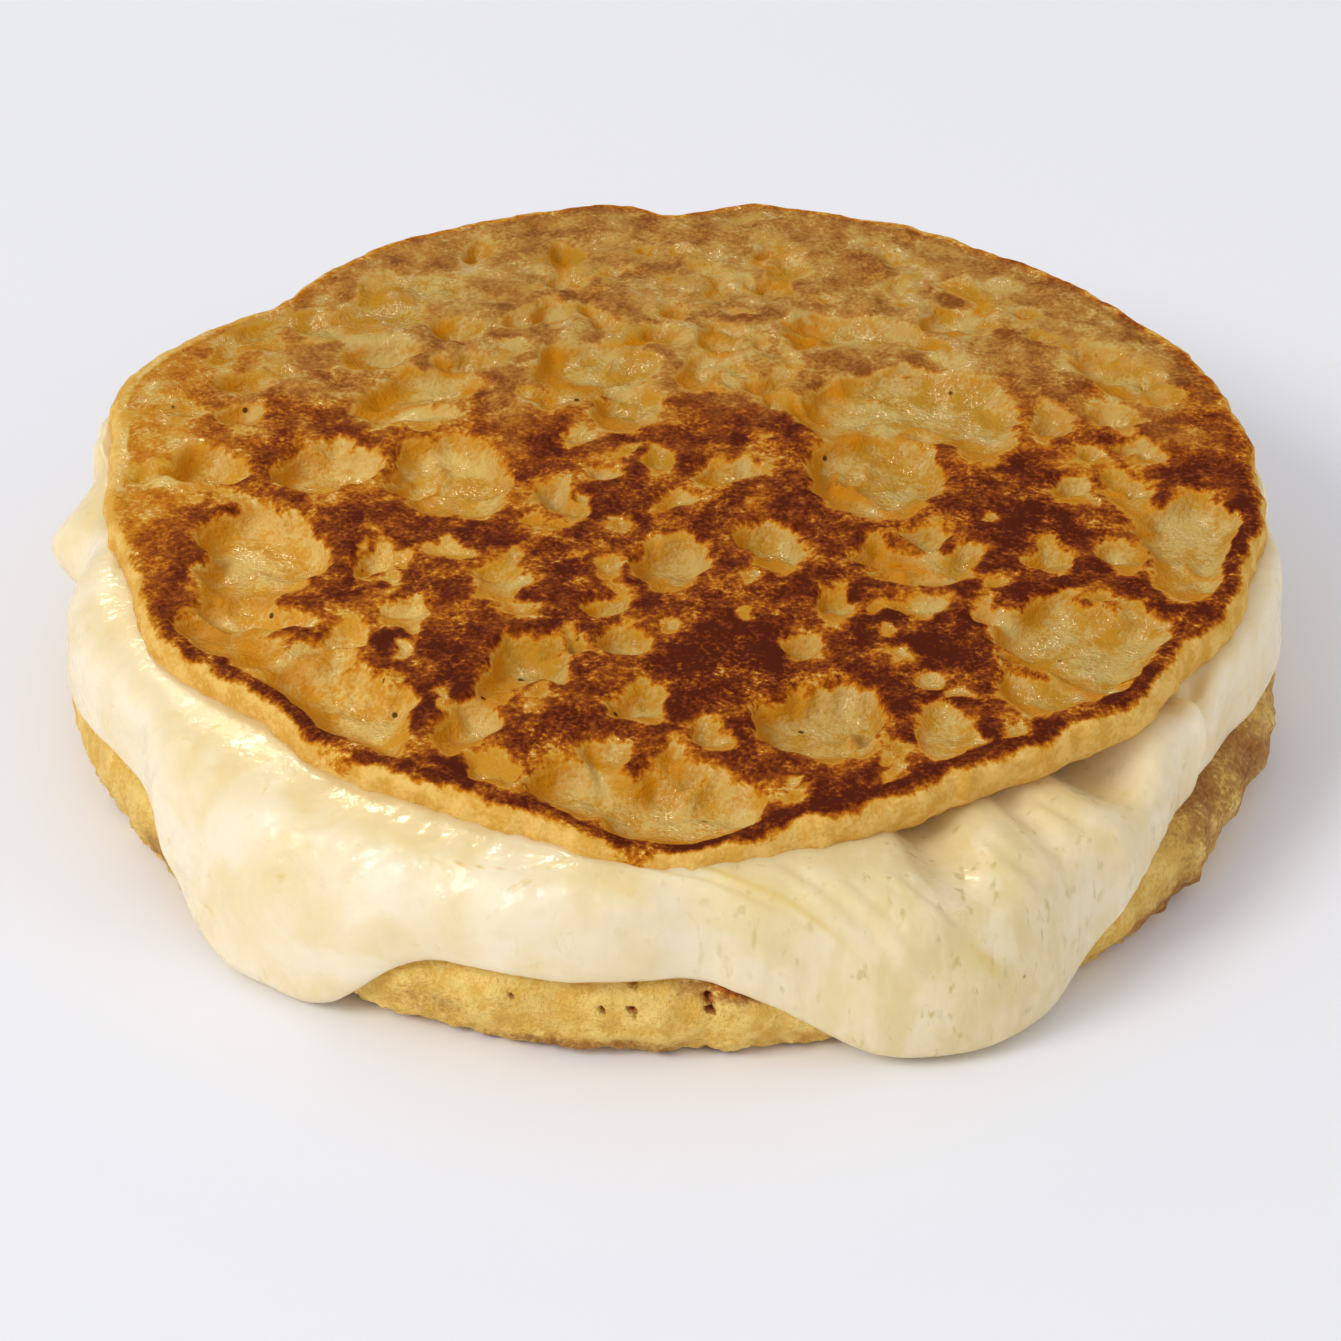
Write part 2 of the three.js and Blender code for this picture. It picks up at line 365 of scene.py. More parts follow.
def addRamp(tree, value, stops):
    ramp = addNode(tree, "ShaderNodeValToRGB", {}, {"Fac": value})
    elements = ramp.color_ramp.elements
    while len(elements) < len(stops):
        elements.new(0.5)
    for element, (position, color) in zip(elements, stops):
        element.position = position
        element.color = hexColor(color)
    return ramp.outputs["Color"]


# sum of a few values, each with its weight
def addSum(tree, values, weights):
    parts = [addMath(tree, "MULTIPLY", value, weight) for value, weight in zip(values, weights)]
    total = parts[0]
    for part in parts[1:]:
        total = addMath(tree, "ADD", total, part)
    return total


# dots in the middle of some cells: spacing in mm, dot's core and edge, share of cells left empty
def addSpecks(tree, place, spacing, core, edge, empty, strength):
    cells = addNode(tree, "ShaderNodeTexVoronoi", {}, {"Vector": place, "Scale": 1 / (spacing * mm)})
    chosen = addNode(tree, "ShaderNodeSeparateColor", {}, {0: cells.outputs["Color"]}).outputs[0]
    dot = addRange(tree, cells.outputs["Distance"], core, edge, strength, 0.0)
    return addMath(tree, "MULTIPLY", dot, addMath(tree, "GREATER_THAN", chosen, empty))


def addBump(tree, height, distance):
    inputs = {"Strength": 1.0, "Distance": distance * mm, "Height": height}
    return addNode(tree, "ShaderNodeBump", {}, inputs).outputs["Normal"]


def setSockets(shader, values):
    for socket, value in values.items():
        shader.inputs[socket].default_value = value


floatIn = "NodeSocketFloat"
colorIn = "NodeSocketColor"


def newGroup(name, inputs, outputs):
    group = bpy.data.node_groups.new(name, "ShaderNodeTree")
    for label, kind, value in inputs:
        socket = group.interface.new_socket(name=label, in_out="INPUT", socket_type=kind)
        if value is not None:
            socket.default_value = value
    for label, kind in outputs:
        group.interface.new_socket(name=label, in_out="OUTPUT", socket_type=kind)
    return group, group.nodes.new("NodeGroupInput"), group.nodes.new("NodeGroupOutput")


def placeGroup(tree, group, inputs):
    return addNode(tree, "ShaderNodeGroup", {"node_tree": group}, inputs).outputs


def newMaterial(name):
    material = bpy.data.materials.new(name)
    material.use_nodes = True
    tree = material.node_tree
    return material, tree, tree.nodes["Principled BSDF"]


def addMark(tree, name):
    return addNode(tree, "ShaderNodeAttribute", {"attribute_name": name}).outputs["Fac"]


# griddle browning: contact and heat become a crust colour with a fibrous, ragged edge
browning = {
    "fibre": 0.5,  # noise sizes, mm
    "blotch": 2.0,
    "broad": 6.0,
    "grit": 0.6,
    "edgePush": (0.5, 1.4),  # how far fibre and blotch push the edge about, mm
    "heatPush": (2.2, 1.8, 1.2),  # how unevenly fibre, blotch and broad patches take the heat
    "gritPush": 0.15,
    "crust": [  # how brown, and the colour there
        (0.0, "#dba844"), (0.1, "#d3932a"), (0.2, "#c67a18"), (0.32, "#ad5d11"),
        (0.48, "#8c4210"), (0.72, "#702d0c"), (1.0, "#541c08"),
    ],
    "tan": [(0.0, "#caa258"), (0.12, "#be9047"), (0.25, "#ab7634"), (0.45, "#875422")],  # where it is mild
}


def buildBrowning():
    group, source, sink = newGroup("griddleBrowning", [
        ("Contact", floatIn, 0.0), ("Heat", floatIn, 0.5), ("Raggedness", floatIn, 1.0),
        ("Mild", floatIn, 0.0), ("Crumb", colorIn, None),
    ], [("Color", colorIn), ("Brown", floatIn), ("Fibre", floatIn)])
    given = source.outputs
    place = addPlace(group)
    fibre = addMath(group, "SUBTRACT", addNoise(group, place, browning["fibre"], 3.0, 0.65), 0.5)
    blotch = addMath(group, "SUBTRACT", addNoise(group, place, browning["blotch"], 2.0, 0.5, 0.4), 0.5)
    broad = addMath(group, "SUBTRACT", addNoise(group, place, browning["broad"], 1.0, 0.5), 0.5)
    gritScale = 1 / (browning["grit"] * mm)
    grit = addNode(group, "ShaderNodeTexVoronoi", {}, {"Vector": place, "Scale": gritScale})

    # how far inside the touching area a place lies, with a frayed edge
    frayed = addSum(group, (fibre, blotch), browning["edgePush"])
    reach = addMath(group, "MULTIPLY", frayed, given["Raggedness"])
    reach = addMath(group, "ADD", given["Contact"], reach)
    edge = addMath(group, "POWER", addRange(group, reach, -1.3, 0.55), 1.7)
    width = addRange(group, broad, -0.12, 0.12, 2.6, 0.8)
    deepened = addRange(group, reach, -0.2, width, 0.62, 1.0)

    # heat is taken up unevenly
    push = browning["gritPush"]
    uneven = addSum(group, (fibre, blotch, broad), browning["heatPush"])
    gritty = addRange(group, grit.outputs["Distance"], 0.1, 0.6, push, -push)
    uneven = addMath(group, "ADD", uneven, gritty)
    hot = addMath(group, "MULTIPLY", given["Heat"], addMath(group, "ADD", uneven, 1.0))
    hot = addMath(group, "MULTIPLY", hot, deepened)
    hot = addNode(group, "ShaderNodeClamp", {}, {0: hot}).outputs[0]
    brown = addMath(group, "MULTIPLY", edge, hot)

    crust = addRamp(group, brown, browning["crust"])
    tan = addRamp(group, brown, browning["tan"])
    mild = addMath(group, "MULTIPLY", addRange(group, given["Heat"], 0.3, 0.6, 0.85, 0.0), edge)
    mild = addMath(group, "MULTIPLY", mild, given["Mild"])
    crust = addMix(group, mild, crust, tan)
    color = addMix(group, addRange(group, brown, 0.01, 0.16), given["Crumb"], crust)
    group.links.new(color, sink.inputs["Color"])
    group.links.new(brown, sink.inputs["Brown"])
    group.links.new(fibre, sink.inputs["Fibre"])
    return group


# corn crumb: pale and honey tones, amber by a share that is partly painted shade, a few dark specks and wet
# spots
crumbGrain = {
    "broad": 5.0,  # noise sizes, mm
    "fine": 0.5,
    "mix": (0.7, 0.3),  # shares of the two in the tone
    "specks": (4.5, 0.05, 0.09, 0.7, 1.0),  # spacing, core, edge, share of cells left empty, strength
    "speckColor": "#42200a",
    "wetSpots": 2.6,
}


def buildCrumb():
    group, source, sink = newGroup("cornCrumb", [
        ("Pale", colorIn, None), ("Honey", colorIn, None), ("Amber", colorIn, None), ("Depth", floatIn, 0.0),
    ], [("Color", colorIn), ("Wet", floatIn)])
    given = source.outputs
    place = addPlace(group)
    broad = addNoise(group, place, crumbGrain["broad"], 2.0, 0.55)
    fine = addNoise(group, place, crumbGrain["fine"], 2.0, 0.6)
    tone = addSum(group, (broad, fine), crumbGrain["mix"])
    base = addMix(group, addRange(group, tone, 0.42, 0.58), given["Pale"], given["Honey"])
    # the amber share holds painted shade of the walls and hollows
    deep = addMath(group, "ADD", given["Depth"], addRange(group, fine, 0.35, 0.65, -0.06, 0.06))
    base = addMix(group, deep, base, given["Amber"])
    speck = addSpecks(group, place, *crumbGrain["specks"])
    base = addMix(group, addMath(group, "MULTIPLY", speck, 0.9), base, hexColor(crumbGrain["speckColor"]))
    wet = addRange(group, addNoise(group, place, crumbGrain["wetSpots"], 2.0, 0.5), 0.46, 0.6)
    wet = addMath(group, "MULTIPLY", wet, addMath(group, "SUBTRACT", 1.0, speck))
    group.links.new(base, sink.inputs["Color"])
    group.links.new(wet, sink.inputs["Wet"])
    return group


browningGroup = buildBrowning()
crumbGroup = buildCrumb()
print("node groups ready")

cakeGrain = {
    "masa": 0.45,  # noise sizes, mm
    "skin": 2.6,
    "bead": 0.5,
    "beadHeight": 0.34,  # mm, in the wet coat only
    "wetIor": 1.38,
}


def buildCakeMaterial(name, look):
    material, tree, shader = newMaterial(name)
    contact, toast, wall, amberAndShade, mild, farShade = [addMark(tree, mark) for mark in cakeMarks]
    place = addPlace(tree)
    masa = addNoise(tree, place, cakeGrain["masa"], 2.0, 0.6)
    bead = addNoise(tree, place, cakeGrain["bead"], 1.5, 0.5)

    # crumb in the blisters, darker and duller in painted shade away from the light, a floury skin on the
    # side, browning over both
    crumb = placeGroup(tree, crumbGroup, {
        "Pale": addMix(tree, farShade, hexColor(look["pale"]), hexColor(look["farShadePale"])),
        "Honey": addMix(tree, farShade, hexColor(look["honey"]), hexColor(look["farShadeHoney"])),
        "Amber": hexColor(look["amber"]),
        "Depth": amberAndShade,
    })
    tone = addNoise(tree, place, cakeGrain["skin"], 3.0, 0.55)
    tone = addMath(tree, "ADD", tone, addMath(tree, "MULTIPLY", masa, 0.5))
    light = addRange(tree, tone, 0.6, 0.9)
    skin = addMix(tree, light, hexColor(look["skinDark"]), hexColor(look["skinLight"]))
    # amber on the side: painted shade between its bumps and crumbs
    skin = addMix(tree, amberAndShade, skin, hexColor(look["amber"]))
    crust = placeGroup(tree, browningGroup, {
        "Contact": contact, "Heat": toast, "Raggedness": look["raggedness"], "Mild": mild,
        "Crumb": addMix(tree, wall, crumb["Color"], skin),
    })
    tree.links.new(crust["Color"], shader.inputs["Base Color"])

    # wet where the crumb is bare
    dry = addRange(tree, crust["Brown"], 0.03, 0.2)
    bare = addMath(tree, "SUBTRACT", 1.0, addMath(tree, "MAXIMUM", wall, dry))
    wetness = addMath(tree, "MULTIPLY", crumb["Wet"], addMath(tree, "MAXIMUM", bare, look["oil"]))
    wetness = addMath(tree, "MULTIPLY", wetness, addRange(tree, amberAndShade, 0.1, 0.5, 1.0, 0.15))
    tree.links.new(wetness, shader.inputs["Coat Weight"])

    # beads of crumb off the griddle, fibres on it, masa grain on the side
    offWall = addMath(tree, "SUBTRACT", 1.0, wall)
    offGriddle = addMath(tree, "MINIMUM", addRange(tree, contact, -0.9, 0.3, 1.0, 0.0), offWall)
    grain = addMath(tree, "ADD", addMath(tree, "MULTIPLY", bead, offGriddle), crust["Fibre"])
    grain = addMath(tree, "ADD", grain, addMath(tree, "MULTIPLY", masa, wall))
    tree.links.new(addBump(tree, grain, look["grain"]), shader.inputs["Normal"])
    tree.links.new(addBump(tree, bead, cakeGrain["beadHeight"]), shader.inputs["Coat Normal"])
    setSockets(shader, {
        "Roughness": look["dryRough"],
        "Specular IOR Level": look["shine"],
        "Coat Roughness": look["wetRough"],
        "Coat IOR": cakeGrain["wetIor"],
    })
    return material


# upper cake

topCake = {
    "centre": (1.0, 3.7),
    "radius": 61.7,
    "underside": 18.6,
    "middle": 22.4,  # height of the widest line
    "top": 25.2,  # height where the rim meets the crust
    "roundUnder": 7.0,
    "roundOver": 2.3,
    "squareOver": 0.6,  # 1 is round, less is squarer
    "squareUnder": 0.9,
    "sideSteps": 22,
    "wander": (0.3, 2.3),
    "crown": 0.8,
    "wave": 0.35,
    "waveLength": 12.0,
    "bulges": [  # bearing, half width in degrees, how far out
        (-91, 9, 3.2), (-137, 8, -3.4), (-118, 10, -1.2), (-58, 10, -1.8), (-31, 7, -1.0),
        (-165, 10, -1.8), (160, 9, 3.4), (138, 7, -2.4), (90, 4, -2.8), (25, 22, 1.0),
    ],
    "noseSag": (-91, 9, 2.0),  # bearing, half width, how far the front edge droops
    "ragged": 0.55,
    "raggedLength": 6.0,
    "seed": 11,
    "grid": 256,  # squares across the crust
    "warpSeeds": (21, 27),
    "blisterWall": 1.6,  # how wide a blister's wall is
    "deeper": 1.4,  # times the depths below
    "spread": 0.25,  # added round every blister
    "hotMiddle": (18, -18, 46, 32, 0, 1.0),  # x, y, half length, half width, turn, how much
    "hotSpread": -0.4,  # there the blisters are smaller and the crust is browner
    "hotMore": 0.12,
    "threads": 0.9,  # how far the thin browned ridges stand up in the blisters
    "threadPath": (7, 49),  # size and seed of the noise that they follow
    "threadWidth": 0.09,
    "threadGaps": (9, 53),
    "lineEdge": 0.9,  # griddle line's outer edge, in from the outline
    "clearRim": 4.0,  # kept free of the blisters that are placed at random
    "smallBlisters": (110, (0.6, 1.7), 23, (0.5, 0.18)),  # tried, half lengths, seed, depth and more per mm
    "backBlisters": (170, (0.8, 3.0), 29, (0.8, 0.3)),
    "backLine": (14, -0.3),  # they lie behind this line: its y in the middle and its slope
    "rimBlisters": [  # bearing, half width in degrees, how much nearer the rim its blisters come
        (-146, 13, 2.4), (-128, 9, 2.4), (-92, 12, 1.8), (-38, 12, 1.6), (-10, 16, 1.4), (-57, 8, 1.0),
    ],
    "toBack": (-6, 36),  # y where the crust starts to pale, and where it is palest
    "heat": (0.68, -0.44),  # at the front, and added at the back
    "rimToast": (0.84, -0.54),  # the griddle line's own heat, front and added at the back
    "rimSpots": [(0, 25, 0.2), (178, 28, -0.6)],  # bearing, half width, added to it
    "paleEdge": (178, 22, 0.72),  # bearing, half width, how much less the left edge is browned
    "goldEdge": (172, 30),  # bearing, half width of an edge that browns golden, not tan
    "farShadeFrom": (-32, -8),  # x where painted shade makes the crumb duller and darker, towards the right
    "farShadeFront": (-56, -36),  # y where that holds half and in full
    # noise: size in mm, seed, layers, height
    "blisterNoise": (3.6, 43, 2, 0.8),
    "lineNoise": (6, 45, 2, 0.9),
    "lumps": [(1.7, 37, 2, 0.14), (5, 39, 1, 0.12)],
    "patchNoise": (4, 47, 2, 0.3),
    "sideNoise": (2.6, 51, 3, 0.3),
    "lineDrift": (6, 57, 2, 0.6),
    "farShadeNoise": (9, 55, 1, 0.5),
    # noise: size, seed, layers, height at the front, added at the back
    "rough": [(1.8, 31, 2, 0.09, 0.09), (5.0, 35, 2, 0.14, 0.3)],
    "heatNoise": [(5, 41, 2, 0.3, -0.1)],
    "largeBlisters": [  # that stayed off the griddle: x, y, half length, half width, turn, depth
        (-42.5, -11, 9.3, 6.8, 95, 2.2), (-43, -22.5, 6.3, 4.8, -50, 1.8), (-39, -27.5, 3.5, 2.2, -30, 1.0),
        (-32, -37, 8.2, 5.6, 112, 2.3), (-34.5, -27.5, 5.2, 2.6, 60, 1.3), (-28, -28.7, 2.6, 2.1, 0, 1.1),
        (-27, -21.8, 3.2, 2.4, 90, 1.2), (-30, -12.8, 5.3, 3.2, 92, 1.6), (-23, -10.6, 4.0, 1.5, 5, 0.6),
        (-17.6, -15.5, 5.2, 2.7, 75, 1.0), (-12.4, -1.6, 5.2, 3.8, 92, 2.0), (-23.6, 4, 8.6, 6.6, 100, 2.0),
        (-36.5, 5.8, 5.5, 5.2, 0, 2.2), (-49.5, 5.6, 5.6, 3.7, 95, 2.0), (0, -12.6, 6.0, 4.2, 90, 2.0),
        (-6.4, -14, 2.3, 1.6, 90, 1.0), (-6.8, -21, 2.8, 2.4, 20, 1.6), (-15, -22, 2.4, 2.1, 0, 1.0),
        (-4.6, -26.7, 3.2, 2.9, 0, 1.7), (0, -25, 2.2, 1.6, 20, 1.0), (-14.4, -31.6, 7.6, 4.0, 62, 2.0),
        (-19.6, -41.6, 5.2, 3.3, 68, 1.9), (-17, -49.6, 3.0, 2.3, 90, 1.2), (-8.6, -51, 5.2, 4.4, 10, 1.9),
        (-6.8, -46.4, 2.6, 1.9, 100, 1.2), (1, -53, 7.4, 5.8, 0, 2.3), (1, -46, 3.0, 1.9, 90, 1.4),
        (-2.9, -37.8, 3.2, 2.9, 0, 1.6), (-3.2, -34.4, 1.5, 1.3, 0, 0.7), (4, -42.7, 3.1, 2.1, 80, 1.3),
        (15.2, -41, 7.2, 6.8, 30, 2.3), (10.4, -10, 5.2, 3.5, 110, 1.8), (7.7, -15.6, 1.8, 1.4, 0, 0.9),
        (16.8, -20.5, 4.1, 2.1, 88, 1.7), (13.7, -28, 3.0, 2.1, 95, 1.6), (8, -21.4, 1.4, 1.0, 60, 0.5),
        (26, -11.6, 6.8, 5.9, 15, 1.9), (25.2, -20.6, 4.7, 1.9, 5, 1.2), (23, -25.3, 1.6, 1.2, 90, 0.5),
        (23.2, -29, 1.8, 1.4, 0, 0.8), (26.6, -33.3, 2.1, 1.9, 60, 0.9), (22, 4, 9.5, 7.3, 90, 2.0),
        (25, 18, 11.3, 8.0, 5, 1.5), (33.5, 14, 7.5, 3.6, 95, 1.2), (6.5, 4.3, 4.6, 3.0, 25, 1.4),
        (1, -1.5, 3.1, 2.3, 10, 1.4), (-1.4, 6.5, 2.6, 2.1, 90, 1.2), (-8, 5, 2.3, 2.0, 90, 1.3),
        (39, -11.6, 3.3, 2.5, 110, 1.3), (54, -8.4, 9.5, 5.7, 92, 1.6), (47.2, -11.6, 4.3, 2.8, 100, 1.2),
        (41.3, -26.6, 9.6, 8.3, 60, 1.9), (36.6, -35.6, 4.6, 3.6, 30, 1.2), (34, -17, 1.9, 1.5, 30, 0.9),
        (33.8, -23, 3.6, 1.8, 95, 1.2), (27.2, -42.5, 4.8, 2.4, 100, 0.9), (22, -48.3, 1.9, 1.1, 90, 0.6),
        (42.4, 2.4, 4.6, 2.2, 95, 1.3), (48.4, 2, 4.6, 2.7, 95, 1.4), (50.4, 9.4, 2.6, 1.7, 120, 1.8),
        (41, 14.6, 4.2, 2.2, 80, 1.2), (48.5, 16.5, 3.2, 2.4, 100, 1.0), (49.8, 25, 6.6, 3.5, 130, 1.4),
        (32.2, 37, 4.1, 3.3, 0, 1.3), (19.5, 34.6, 7.4, 3.4, 0, 1.3), (12, 44.8, 1.9, 1.6, 0, 1.6),
        (13.4, 48.4, 2.0, 2.0, 0, 0.8), (4, 48, 2.2, 1.7, 90, 0.9), (1, 38.6, 2.2, 1.6, 100, 1.4),
        (-6.8, 35.3, 1.8, 1.3, 110, 1.6), (6, 35, 1.5, 1.4, 0, 1.3), (41.5, 33, 1.7, 1.5, 0, 0.8),
        (35, 44, 4.0, 1.9, 0, 0.6), (26, 44, 2.6, 1.4, 90, 0.6), (-8.5, 26.4, 7.2, 4.4, 0, 1.5),
        (-4.8, 18, 5.6, 3.9, 95, 1.6), (-12, 20, 3.6, 2.4, 20, 1.2), (4.8, 25.4, 4.6, 3.9, 90, 1.0),
        (-27.6, 22, 6.2, 3.9, 10, 1.6), (-29, 17, 4.6, 2.4, -15, 1.3), (-46.4, 24.2, 2.3, 2.1, 0, 2.0),
        (-46.4, 17, 2.6, 2.2, 0, 1.4), (-32.8, 29.6, 4.2, 3.3, 10, 1.5), (-49.6, 30.4, 3.5, 1.8, 80, 1.2),
        (-46, 34, 3.4, 2.4, 70, 0.8), (-33, 38, 5.5, 3.5, 0, 0.7), (-17, 36.4, 2.2, 2.0, 0, 1.2),
        (-10, 12, 2.1, 1.5, 90, 0.9), (-39, 35.5, 3.0, 2.5, 0, 0.5), (-29, 44, 5.5, 2.6, 0, 0.5),
    ],
    "islands": [  # browned, standing up inside the blisters
        (-36.3, -17.6, 3.4, 2.2, 25, 1.0), (-38.2, -25.2, 1.6, 1.0, 10, 0.6),
        (-35.0, -23.6, 3.2, 0.8, 55, 0.8), (-31.5, -20.5, 3.0, 0.8, 20, 0.8),
        (-30.5, -17.0, 2.6, 1.6, 80, 0.8), (-23.5, -14.0, 3.0, 2.8, 90, 1.0),
        (-29.0, -31.5, 3.0, 0.7, -10, 0.8), (-29.6, -27.6, 3.0, 1.0, 110, 0.8),
        (30.5, -8.5, 2.6, 0.7, 80, 0.5), (24.0, -9.0, 2.4, 0.6, -40, 0.5),
        (44.0, -19.5, 2.2, 0.8, -20, 0.5), (34.5, -30.5, 3.0, 0.8, -35, 0.6),
    ],
    "patches": [  # that took the most heat: x, y, half length, half width, turn, how dark
        (6, -30, 14, 11, 20, 1.0), (11, -18, 7, 4, 0, 0.85), (26, -29, 11, 8.5, -15, 1.0),
        (38, -5, 8, 6, 0, 1.1), (35.5, -12.5, 5, 3.5, 90, 0.95), (42.5, -13.6, 3.6, 2.6, 0, 0.95),
        (-51, -12, 6.5, 2.2, 95, 0.9), (-37, -3, 8.5, 3.6, -10, 0.75), (-32.6, -15, 5.5, 2.2, 95, 0.8),
        (-22.5, -30, 7, 2.6, 95, 0.9), (14, 1, 6.5, 4, 10, 0.85), (22, -5.5, 5, 2.6, 0, 0.8),
        (33.5, 2, 4.5, 3, 0, 0.8), (39, 7, 5.5, 3.4, 100, 0.85), (7, 13, 5.5, 3, 100, 0.75),
        (12.4, 11, 6, 3, 90, 0.75), (17, -52, 8, 3.6, 20, 0.95), (25, -49, 4.5, 2.6, 15, 0.95),
        (6, -49.5, 4, 3, 0, 0.8), (-20, -49, 4.5, 2.6, 0, 0.9), (-11, -42, 6, 4, 60, 0.9),
        (23.5, -43.5, 5, 2, 95, 0.85), (33.5, -33.5, 5.2, 2.8, 100, 0.9), (55.5, 5, 2.6, 2.4, 0, 0.85),
        (-24, -46, 6, 2.4, -20, 0.9),
    ],
    "look": {
        "pale": "#e8c670", "honey": "#dca034", "amber": "#ca7f08",
        "farShadePale": "#cbac61", "farShadeHoney": "#bc8a29", "skinLight": "#ecc068", "skinDark": "#dba445",
        "raggedness": 1.0, "dryRough": 0.6, "wetRough": 0.09, "oil": 0.0, "shine": 0.02, "grain": 0.15,
    },
}


def noseDrop(angle):
    return bellSum(angle, [topCake["noseSag"]])


# how dark the rim's griddle line is: darkest at the front, golden at the back
def rimToast(angle):
    front, added = topCake["rimToast"]
    backward = smoothStep(-0.25, 0.35, np.sin(np.radians(angle)))
    return front + added * backward + bellSum(angle, topCake["rimSpots"])


# where the crust stayed off the griddle, x and y already pushed out of round:
# the blister field, cut back by islands, thin ridges and the rim
def crustBlisters(cake, flat, x, y, angle, fromEdge, hotMiddle):
    reach = cake["radius"] - cake["clearRim"]
    blisters = list(cake["largeBlisters"])
    blisters += scatterBlisters(reach, blisters, *cake["smallBlisters"])
    line, slope = cake["backLine"]
    more = scatterBlisters(reach, blisters, *cake["backBlisters"])
    blisters += [b for b in more if b[1] > line + slope * b[0]]
    inside, deep, lean, front = blisterField(x, y, blisters)
    island = blisterField(x, y, cake["islands"])[0]
    grown = bellSum(angle, cake["rimBlisters"])
    inside = inside + cake["spread"] + cake["hotSpread"] * hotMiddle
    inside = inside + grown * (1 - smoothStep(1.0, 7.0, fromEdge))
    inside = np.minimum(inside, -island) + reliefAt(flat, cake["blisterNoise"])
    thread = np.exp(-(noiseAt(flat, *cake["threadPath"]) / cake["threadWidth"]) ** 2)
    thread = thread * smoothStep(0.0, 0.2, noiseAt(flat, *cake["threadGaps"]))
    inside = inside + (np.minimum(inside, -0.1) - inside) * thread * cake["threads"]

    # beside the rim a blister's wall follows the rim
    room = fromEdge - 0.2 + reliefAt(flat, cake["lineNoise"])
    atRim = smoothStep(-0.5, 0.5, inside - room)
    turn = np.radians(angle)
    litX, litY = blisterShape["litSide"]
    lean = lean + (litX * np.cos(turn) + litY * np.sin(turn) - lean) * atRim
    front = front + (np.clip(-np.sin(turn), 0, 1) - front) * atRim
    return np.minimum(inside, room), deep, lean, front, island


# the crust's heat: falls off towards the back, with hot patches and the griddle line at the rim
def crustHeat(cake, flat, x, y, angle, fromEdge, toBack, hotMiddle):
    front, added = cake["heat"]
    heat = front + added * toBack + changingRelief(flat, toBack, cake["heatNoise"])
    heat = heat + cake["hotMore"] * hotMiddle
    patches = patchField(x, y, cake["patches"]) * (1.05 + reliefAt(flat, cake["patchNoise"]))
    heat = np.maximum(heat, patches)
    heat = np.maximum(heat, rimToast(angle) * (1 - smoothStep(0.3, 1.4, fromEdge)))
    return heat * (1 - bellSum(angle, [cake["paleEdge"]]) * (1 - smoothStep(5, 9, fromEdge)))


# rings from the crust's edge over the side and under, each with its marks
def topSide(cake, angle, outline):
    count = len(angle)
    none = np.zeros(count)
    low = cake["middle"] - noseDrop(angle)
    sides = []
    for i in range(1, cake["sideSteps"] + 1):
        below = i / cake["sideSteps"]
        turn = math.pi * below
        upper = turn <= math.pi / 2
        width = cake["roundOver"] if upper else cake["roundUnder"]
        tall = cake["top"] - cake["middle"] if upper else low - cake["underside"]
        square = cake["squareOver"] if upper else cake["squareUnder"]
        outward, upward = roundedSide(turn, width, tall, square)
        ring = onBearing(outline + outward, angle, low + upward, cake["centre"])
        ring = ring + onBearing(reliefAt(ring, cake["sideNoise"]) * math.sin(turn), angle, none)
        touch = np.full(count, -4.0)  # well clear of the griddle
        if upper:
            drift = reliefAt(ring, cake["lineDrift"])
            touch = np.maximum(1.6 * (drift - cake["lineEdge"] - outward), touch)
        wall = np.full(count, float(smoothStep(0.02, 0.12, below)))
        sides.append((ring, np.stack([touch, rimToast(angle), wall, none, none, none], axis=1)))
    return sides


